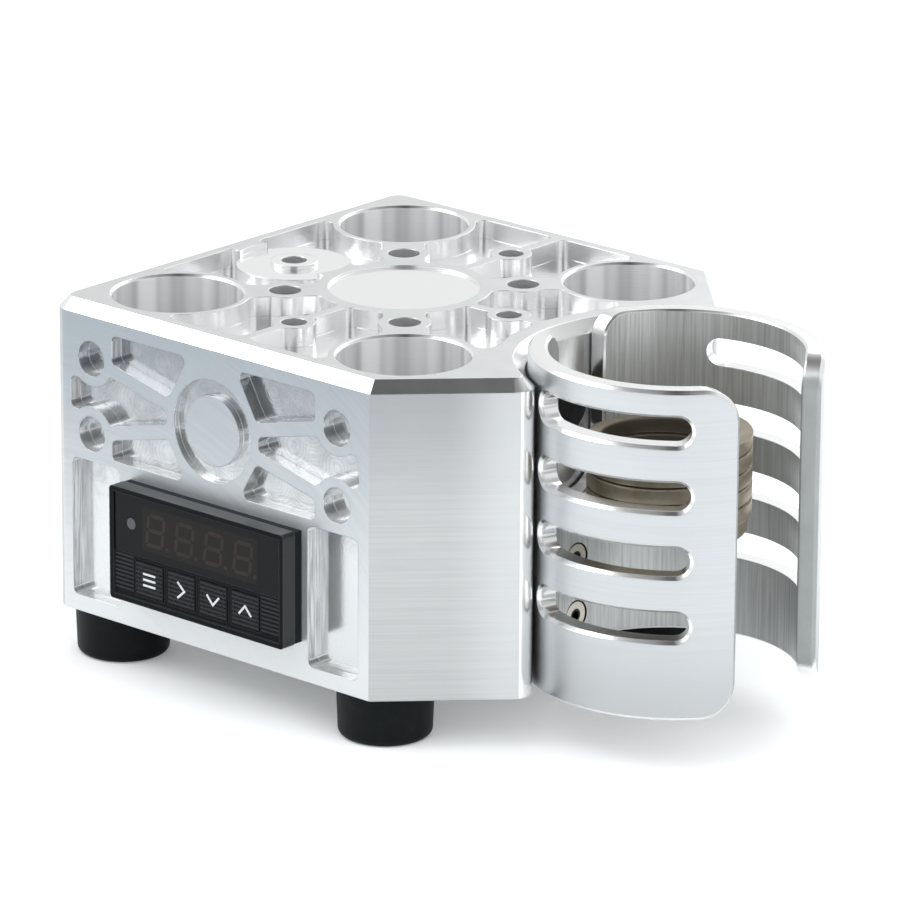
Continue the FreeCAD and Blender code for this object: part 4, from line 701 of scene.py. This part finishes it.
def rib(work, left, right, z, height, near, far):
    """Moulded rib with a rounded back between two x places."""
    profile = [(far, z - height / 2), (near + (far - near) * 0.3, z - height * 0.36),
               (near, z - height * 0.12), (near, z + height * 0.12),
               (near + (far - near) * 0.3, z + height * 0.36), (far, z + height / 2)]
    swept_loop(work, [[(x, y, height_z) for y, height_z in profile] for x in (left, right)], False)


def band(work, pairs, face, rise, closed=True):
    """Raised flat band between outer and inner points of x and z, standing on a face."""
    sections = []
    for outer, inner in pairs:
        feet = [Vector((x, face(x, z), z)) for x, z in (outer, inner)]
        crests = [spot + Vector((0, rise, 0)) for spot in feet]
        sections.append([feet[0], crests[0], crests[1], feet[1]])
    swept_loop(work, sections, closed)


# Operators, one for each piece or group of like pieces
class HEATER_OT_block(bpy.types.Operator):
    """Give both parts of the block their machined finish"""
    bl_idname = "heater.block"
    bl_label = "Block"

    def execute(self, context):
        dress(machined_metal(looks("metal")), "heater_block", "block_base")
        return {"FINISHED"}


class HEATER_OT_guard(bpy.types.Operator):
    """Give the guard its brushed finish and its screws theirs"""
    bl_idname = "heater.guard"
    bl_label = "Guard and screws"

    def execute(self, context):
        dress(satin_guard(looks("metal")), "coil_guard")
        dress(socket_screw(looks("dark"), "guard_screws"), "guard_screws")
        dress(plain_metal("screw_steel", looks("dark").steel), "foot_screws", "cover_screws",
              "base_screws")
        return {"FINISHED"}


class HEATER_OT_coil(bpy.types.Operator):
    """Wind the coil strip in the place of its plain solid"""
    bl_idname = "heater.coil"
    bl_label = "Coil"

    def execute(self, context):
        look = looks("coil")
        material = heat_tinted(look)
        strip, lead = self.sections(look, *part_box("coil_heater"))

        def build(work):
            swept_loop(work, strip, False)
            swept_loop(work, lead, False)

        piece = new_piece("coil_strip", build, material, BODY)
        for polygon in piece.data.polygons:
            polygon.use_smooth = True
        piece.modifiers.new("crisp_edges", "EDGE_SPLIT").split_angle = math.radians(50)
        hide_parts("coil_heater")
        dress(moulded("bush_black", looks("dark").plastic), "coil_lead_bushing")
        return {"FINISHED"}

    @staticmethod
    def outline(look, pitch):
        """Rounded rectangle of the strip: across the turns and along the axis."""
        half_width, half_height = look.tube, (pitch - look.gap) / 2
        points = []
        steps = 4
        for quarter, (i, j) in enumerate(((1, 1), (-1, 1), (-1, -1), (1, -1))):
            for k in range(steps + 1):
                turn = (quarter + k / steps) * math.pi / 2
                points.append((i * (half_width - look.corner) + look.corner * math.cos(turn),
                               j * (half_height - look.corner) + look.corner * math.sin(turn)))
        return points

    @staticmethod
    def winding(look, axis, mean, last, top, pitch):
        """Places along the turns up to the last angle, each with its direction outwards."""
        per_turn = 72
        count = int(look.turns * per_turn)
        path = []
        for k in range(count + 1):
            left = (count - k) / per_turn
            angle = last - left * math.tau
            radius = mean - look.end_step * max(0.0, 1 - k / per_turn)
            out = Vector((math.cos(angle), math.sin(angle), 0))
            path.append((axis + out * radius + UP * (top - left * pitch), out))
        return path, int(look.tail / math.tau * per_turn)

    @staticmethod
    def along(path, outline):
        """Outline set square to each place of a path."""
        return [[spot + out * across + UP * rise for across, rise in outline] for spot, out in path]

    def sections(self, look, low, high):
        """Strip outlines along the winding, and lead outlines from its end into the block."""
        mean = (high.y - low.y) / 2 - look.tube
        axis = Vector((high.x - look.tube - mean, (low.y + high.y) / 2, 0))
        lead_z = high.z - look.tube
        pitch = (lead_z - low.z - look.tube) / look.turns
        last = math.pi - math.asin(look.bend / (mean + look.bend))
        path, tail = self.winding(look, axis, mean, last, lead_z, pitch)
        strip = self.along(path[:-tail], self.outline(look, pitch))
        for point in (point for section in strip for point in section):
            point.z = min(point.z, lead_z - look.ground)
        high_z = high.z - look.lead
        low_z = lead_z - look.ground - 2 * look.lead
        lead = [(Vector((spot.x, spot.y, low_z + (high_z - low_z) * min(1.0, 2 * k / tail))), out)
                for k, (spot, out) in enumerate(path[-tail - 1:])]
        start = Vector((math.cos(last), math.sin(last), 0))
        finish = Vector((0, 1, 0))
        centre = axis + (mean + look.bend) * start
        bend_steps = 12
        for k in range(1, bend_steps + 1):
            out = start.lerp(finish, k / bend_steps).normalized()
            lead.append((centre - out * look.bend + UP * high_z, out))
        lead.append((Vector((low.x, axis.y, high_z)), finish))
        return strip, self.along(lead, circle(0.0, 0.0, look.lead, count=16))


class HEATER_OT_feet(bpy.types.Operator):
    """Give the feet their rubber"""
    bl_idname = "heater.feet"
    bl_label = "Feet"

    def execute(self, context):
        dress(foot_rubber(looks("dark")), *FEET)
        return {"FINISHED"}


class HEATER_OT_bezel(bpy.types.Operator):
    """Dress the controller's frame, gasket, window and lamp, and add the ribs beside the keys"""
    bl_idname = "heater.bezel"
    bl_label = "Controller front"

    def execute(self, context):
        look = looks("panel")
        # The bezel's edges take painted highlights.
        dress(moulded("bezel_black", look.bezel, roughness=0.4, specular=0.07, edge=0.35 * MM),
              "controller_bezel")
        dress(moulded("gasket_grey", toned(look.bezel, 3.0), 0.5), "controller_gasket")
        dress(tinted_window(look), "display_window")
        dress(moulded("lamp_off", look.lamp, 0.3), "status_led")
        dress(moulded("key_mat", look.bezel, 0.7), "keypad_mat")
        low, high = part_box("display_window")
        rows = rib_rows(look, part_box("controller_bezel")[0].z, low.z)
        rim, rise = 0.25 * MM, 0.12 * MM
        spans = ((low.x + rim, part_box(KEYS[0])[0].x - rim), (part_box(KEYS[-1])[1].x + rim, high.x - rim))

        def build(work):
            for z in rows:
                for left, right in spans:
                    rib(work, left, right, z, look.rib_height, low.y - rise, low.y)

        new_piece("panel_ribs", build, moulded("panel_rib_black", look.rib, 0.5), BODY)
        return {"FINISHED"}


def rib_rows(look, bottom, top):
    """Heights of the ribs below the window, from the top down."""
    border, first = 1.9 * MM, 0.8
    rows = []
    z = top - look.rib_pitch * first
    while z > bottom + border:
        rows.append(z)
        z -= look.rib_pitch
    return rows


class HEATER_OT_digits(bpy.types.Operator):
    """Lay the unlit digits on the display window"""
    bl_idname = "heater.digits"
    bl_label = "Digits"

    def execute(self, context):
        look = looks("panel")
        dress(moulded("digit_module", look.tint, 0.3), "digit_display")
        low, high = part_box("digit_display")
        middle = (low + high) / 2
        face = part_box("display_window")[0].y
        near = face - 0.02 * MM
        lean = math.tan(look.slant)
        count = 4
        dot_gap, dot_rise, dot_radius = 1.1 * MM, 0.4 * MM, 0.5 * MM
        foot = -look.digit_height / 2

        def build(work):
            for k in range(count):
                x = middle.x + (k - (count - 1) / 2) * look.digit_pitch
                for outline in self.segments(look):
                    prism(work, [(x + u + lean * v, middle.z + v) for u, v in outline], near, face)
                dot_x = x + look.digit_width / 2 + dot_gap + lean * foot
                prism(work, circle(dot_x, middle.z + foot + dot_rise, dot_radius, count=12), near,
                      face)

        new_piece("unlit_digits", build, moulded("unlit_digit", look.digit, 0.3), BODY)
        return {"FINISHED"}

    @staticmethod
    def segments(look):
        """Outlines of the seven bars of one upright digit about its centre."""
        bar = 0.85 * MM
        cut = bar / 2
        gap = 0.12 * MM
        half_u, half_v = look.digit_width / 2 - cut, look.digit_height / 2 - cut
        bars = [((-half_u, v), (half_u, v)) for v in (-half_v, 0.0, half_v)]
        bars += [((u, v), (u, v + half_v)) for u in (-half_u, half_u) for v in (-half_v, 0.0)]
        outlines = []
        for first, last in bars:
            start, end = Vector(first), Vector(last)
            run = (end - start).normalized()
            side = Vector((-run.y, run.x)) * cut
            a, b = start + run * gap, end - run * gap
            outlines.append([a, a + run * cut + side, b - run * cut + side, b,
                             b - run * cut - side, a + run * cut - side])
        return outlines


class HEATER_OT_keys(bpy.types.Operator):
    """Add ribs, ring outlines and printed marks to the four keys"""
    bl_idname = "heater.keys"
    bl_label = "Keys"

    def execute(self, context):
        look = looks("panel")
        plastic = moulded("key_black", look.bezel, 0.45)
        relief = moulded("key_rib_black", look.rib, 0.5)
        print_white = printed("mark_white", look.mark)
        rows = rib_rows(look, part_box("controller_bezel")[0].z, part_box("display_window")[0].z)
        margin, top_margin = 0.5 * MM, 0.3 * MM
        rib_rise, ring_rise, ring_radii = 0.1 * MM, 0.11 * MM, (3.3 * MM, 3.16 * MM)
        mark_rise, mark_seat = 0.14 * MM, 0.02 * MM
        for name in KEYS:
            dress(plastic, name)
            low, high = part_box(name)
            middle = (low + high) / 2
            half = (high.x - low.x) / 2 - margin
            face = low.y

            def ribs(work):
                for z in rows:
                    if low.z + margin < z < high.z - top_margin:
                        rib(work, middle.x - half, middle.x + half, z, look.rib_height,
                            face - rib_rise, face)
                rings = (circle(middle.x, middle.z, radius, count=48) for radius in ring_radii)
                band(work, zip(*rings), lambda x, z: face, -ring_rise)

            new_piece(name + "_ribs", ribs, relief, name)

            def marks(work):
                for outline in self.mark(name, look):
                    prism(work, [(middle.x + u, middle.z + v) for u, v in outline],
                          face - mark_rise, face - mark_seat)

            new_piece(name + "_mark", marks, print_white, name)
        return {"FINISHED"}

    @staticmethod
    def mark(name, look):
        """Outlines of one key's mark about its centre."""
        long, short, bar_pitch = 1.7 * MM, 0.95 * MM, 1.2 * MM
        if name == "key_menu":
            return [stroke([(-long, v), (long, v)], look.stroke) for v in (-bar_pitch, 0.0, bar_pitch)]
        if name == "key_shift":
            return [stroke([(-short, long), (short, 0), (-short, -long)], look.stroke)]
        tip = short if name == "key_up" else -short
        return [stroke([(-long, -tip), (0, tip), (long, -tip)], look.stroke)]


class HEATER_OT_power(bpy.types.Operator):
    """Dress the inlet, its pins and the switch, and print the switch's two signs"""
    bl_idname = "heater.power"
    bl_label = "Power entry"

    def execute(self, context):
        dark = looks("dark")
        dress(moulded("inlet_black", dark.plastic, 0.4), "power_inlet", "switch_housing")
        dress(plain_metal("pin_plated", dark.brass), "inlet_pins")
        dress(moulded("rocker_black", dark.plastic, 0.32), "power_rocker")
        low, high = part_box("power_rocker")
        middle = (low + high) / 2
        mesh = frame["nodes"]["power_rocker"].data
        skin = BVHTree.FromPolygons([vertex.co for vertex in mesh.vertices],
                                    [polygon.vertices for polygon in mesh.polygons])

        def face(x, z):
            """Depth of the rocker's outer face."""
            return skin.ray_cast(Vector((x, 1.0, z)), Vector((0, -1, 0)))[0].y

        def signs(work):
            reach, half, stroke_half, rise = 4.0 * MM, 1.4 * MM, 0.25 * MM, 0.04 * MM
            rings = (circle(middle.x, middle.z - reach, radius, count=32)
                     for radius in (half, half - 2 * stroke_half))
            band(work, zip(*rings), face, rise)
            rows = (middle.z + reach + half, middle.z + reach - half)
            bar = [[(middle.x + side * stroke_half, z) for z in rows] for side in SIDES]
            band(work, bar, face, rise, False)

        new_piece("switch_signs", signs, printed("sign_white", looks("panel").mark), "power_rocker")
        return {"FINISHED"}


class HEATER_OT_inner(bpy.types.Operator):
    """Dress the cover and the pieces inside"""
    bl_idname = "heater.inner"
    bl_label = "Cover and inner pieces"

    def execute(self, context):
        dark = looks("dark")
        dress(plain_metal("cover_rolled", looks("metal").guard, 0.4), "bottom_cover")
        dress(moulded("case_black", dark.plastic), "controller_case", "controller_clamp",
              "terminal_block")
        dress(moulded("board_green", dark.board), "display_board", "main_board")
        dress(moulded("winding_yellow", dark.winding), "transformer")
        dress(plain_metal("sheath_steel", dark.steel), "cartridge_heaters", "temperature_probe",
              "thermal_cutout")
        return {"FINISHED"}


class HEATER_OT_stage(bpy.types.Operator):
    """Set the floor, the soft lights, the surround and the camera"""
    bl_idname = "heater.stage"
    bl_label = "Stage"

    def execute(self, context):
        look = looks("stage")
        self.floor(look)
        self.surround(look)
        self.light("side_light", place=(-0.95, -0.75, 1.05), side=1.1, power=look.key)
        self.light("back_light", place=(-0.3, 1.3, 0.9), side=1.2, power=look.fill)
        self.light("overhead_light", place=(0.9, -0.3, 2.0), side=4.0, power=look.overhead,
                   mirrored=False)
        self.camera(look)
        context.scene.view_settings.view_transform = "Standard"
        return {"FINISHED"}

    @staticmethod
    def floor(look):
        """Wide plain floor under the object."""
        mesh = bpy.data.meshes.new("floor")
        work = bmesh.new()
        bmesh.ops.create_grid(work, x_segments=2, y_segments=2, size=look.floor_size / 2)
        work.to_mesh(mesh)
        work.free()
        mesh.materials.append(pale_floor(look))
        floor = bpy.data.objects.new("floor", mesh)
        bpy.context.scene.collection.objects.link(floor)

    @staticmethod
    def surround(look):
        """Pale surround with a dark ceiling and a dark strip behind the camera."""
        world = bpy.data.worlds.new("studio")
        bpy.context.scene.world = world
        ceiling = [(0.0, 0.85), (0.3, 0.9), (0.75, 0.85), (0.92, 0.35), (1.0, 0.15)]
        view = CAMERA_PLACE - AIM
        behind = Vector((view.x, view.y, 0)).normalized()
        sky = Nodes(world, "Background", Strength=look.sky)
        way = sky.add("ShaderNodeTexCoord", output="Generated")
        rise = sky.add("ShaderNodeSeparateXYZ", None, {0: way}, "Z")
        greys = sky.add("ShaderNodeValToRGB", {"stops": ceiling}, {0: rise})
        around = sky.add("ShaderNodeVectorMath", {"operation": "MULTIPLY"}, {0: way, 1: (1.0, 1.0, 0.0)})
        compass = sky.add("ShaderNodeVectorMath", {"operation": "NORMALIZE"}, {0: around})
        toward = sky.add("ShaderNodeVectorMath", {"operation": "DOT_PRODUCT"}, {0: compass, 1: behind},
                         "Value")
        strip = 1 - sky.step(toward, 0.93, 0.985) * 0.8
        sky.feed(Color=sky.add("ShaderNodeMix", {"data_type": "RGBA", "blend_type": "MULTIPLY"},
                               {0: 1.0, 6: greys, 7: strip}, 2))

    @staticmethod
    def light(name, place, side, power, mirrored=True):
        """Large soft light at a place in metres, turned to the object."""
        lamp = bpy.data.lights.new(name, "AREA")
        lamp.shape = "RECTANGLE"
        lamp.size = lamp.size_y = side
        lamp.energy = power
        light = bpy.data.objects.new(name, lamp)
        light.location = place
        light.rotation_euler = (AIM - light.location).to_track_quat("-Z", "Y").to_euler()
        light.visible_glossy = mirrored
        bpy.context.scene.collection.objects.link(light)

    @staticmethod
    def camera(look):
        """Camera at the viewing angle of the picture that the part follows."""
        view = bpy.data.cameras.new("camera")
        view.sensor_width = SENSOR_WIDTH
        view.lens = look.lens
        view.clip_end = 100.0
        camera = bpy.data.objects.new("camera", view)
        turn = (AIM - CAMERA_PLACE).to_track_quat("-Z", "Y").to_matrix().to_4x4()
        camera.matrix_world = (Matrix.Translation(CAMERA_PLACE) @ turn
                               @ Matrix.Rotation(look.roll, 4, "Z"))
        bpy.context.scene.collection.objects.link(camera)
        bpy.context.scene.camera = camera


class HEATER_PT_panel(bpy.types.Panel):
    """Buttons for the heater's pieces and stage"""
    bl_idname = "HEATER_PT_panel"
    bl_label = "Dry block heater"
    bl_space_type = "VIEW_3D"
    bl_region_type = "UI"
    bl_category = "Heater"

    def draw(self, context):
        for group in GROUPS:
            box = self.layout.box()
            look = looks(group)
            for name in look.__annotations__:
                box.prop(look, name)
        for operator in OPERATORS:
            self.layout.operator(operator.bl_idname)


GROUPS = {"metal": MetalLook, "coil": CoilLook, "panel": PanelLook, "dark": DarkLook,
          "stage": StageLook}
OPERATORS = (HEATER_OT_block, HEATER_OT_guard, HEATER_OT_coil, HEATER_OT_feet, HEATER_OT_bezel,
             HEATER_OT_digits, HEATER_OT_keys, HEATER_OT_power, HEATER_OT_inner, HEATER_OT_stage)


def register():
    """Make the classes and the property groups known to Blender."""
    for kind in (*GROUPS.values(), *OPERATORS, HEATER_PT_panel):
        bpy.utils.register_class(kind)
    for name, group in GROUPS.items():
        setattr(bpy.types.Scene, "heater_" + name, PointerProperty(type=group))


def unregister():
    """Take the property groups and the classes out again."""
    for name in GROUPS:
        delattr(bpy.types.Scene, "heater_" + name)
    for kind in (HEATER_PT_panel, *reversed(OPERATORS), *GROUPS.values()):
        bpy.utils.unregister_class(kind)


def main():
    """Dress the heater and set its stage."""
    register()
    for operator in OPERATORS:
        space, name = operator.bl_idname.split(".")
        getattr(getattr(bpy.ops, space), name)()


if __name__ == "__main__":
    main()
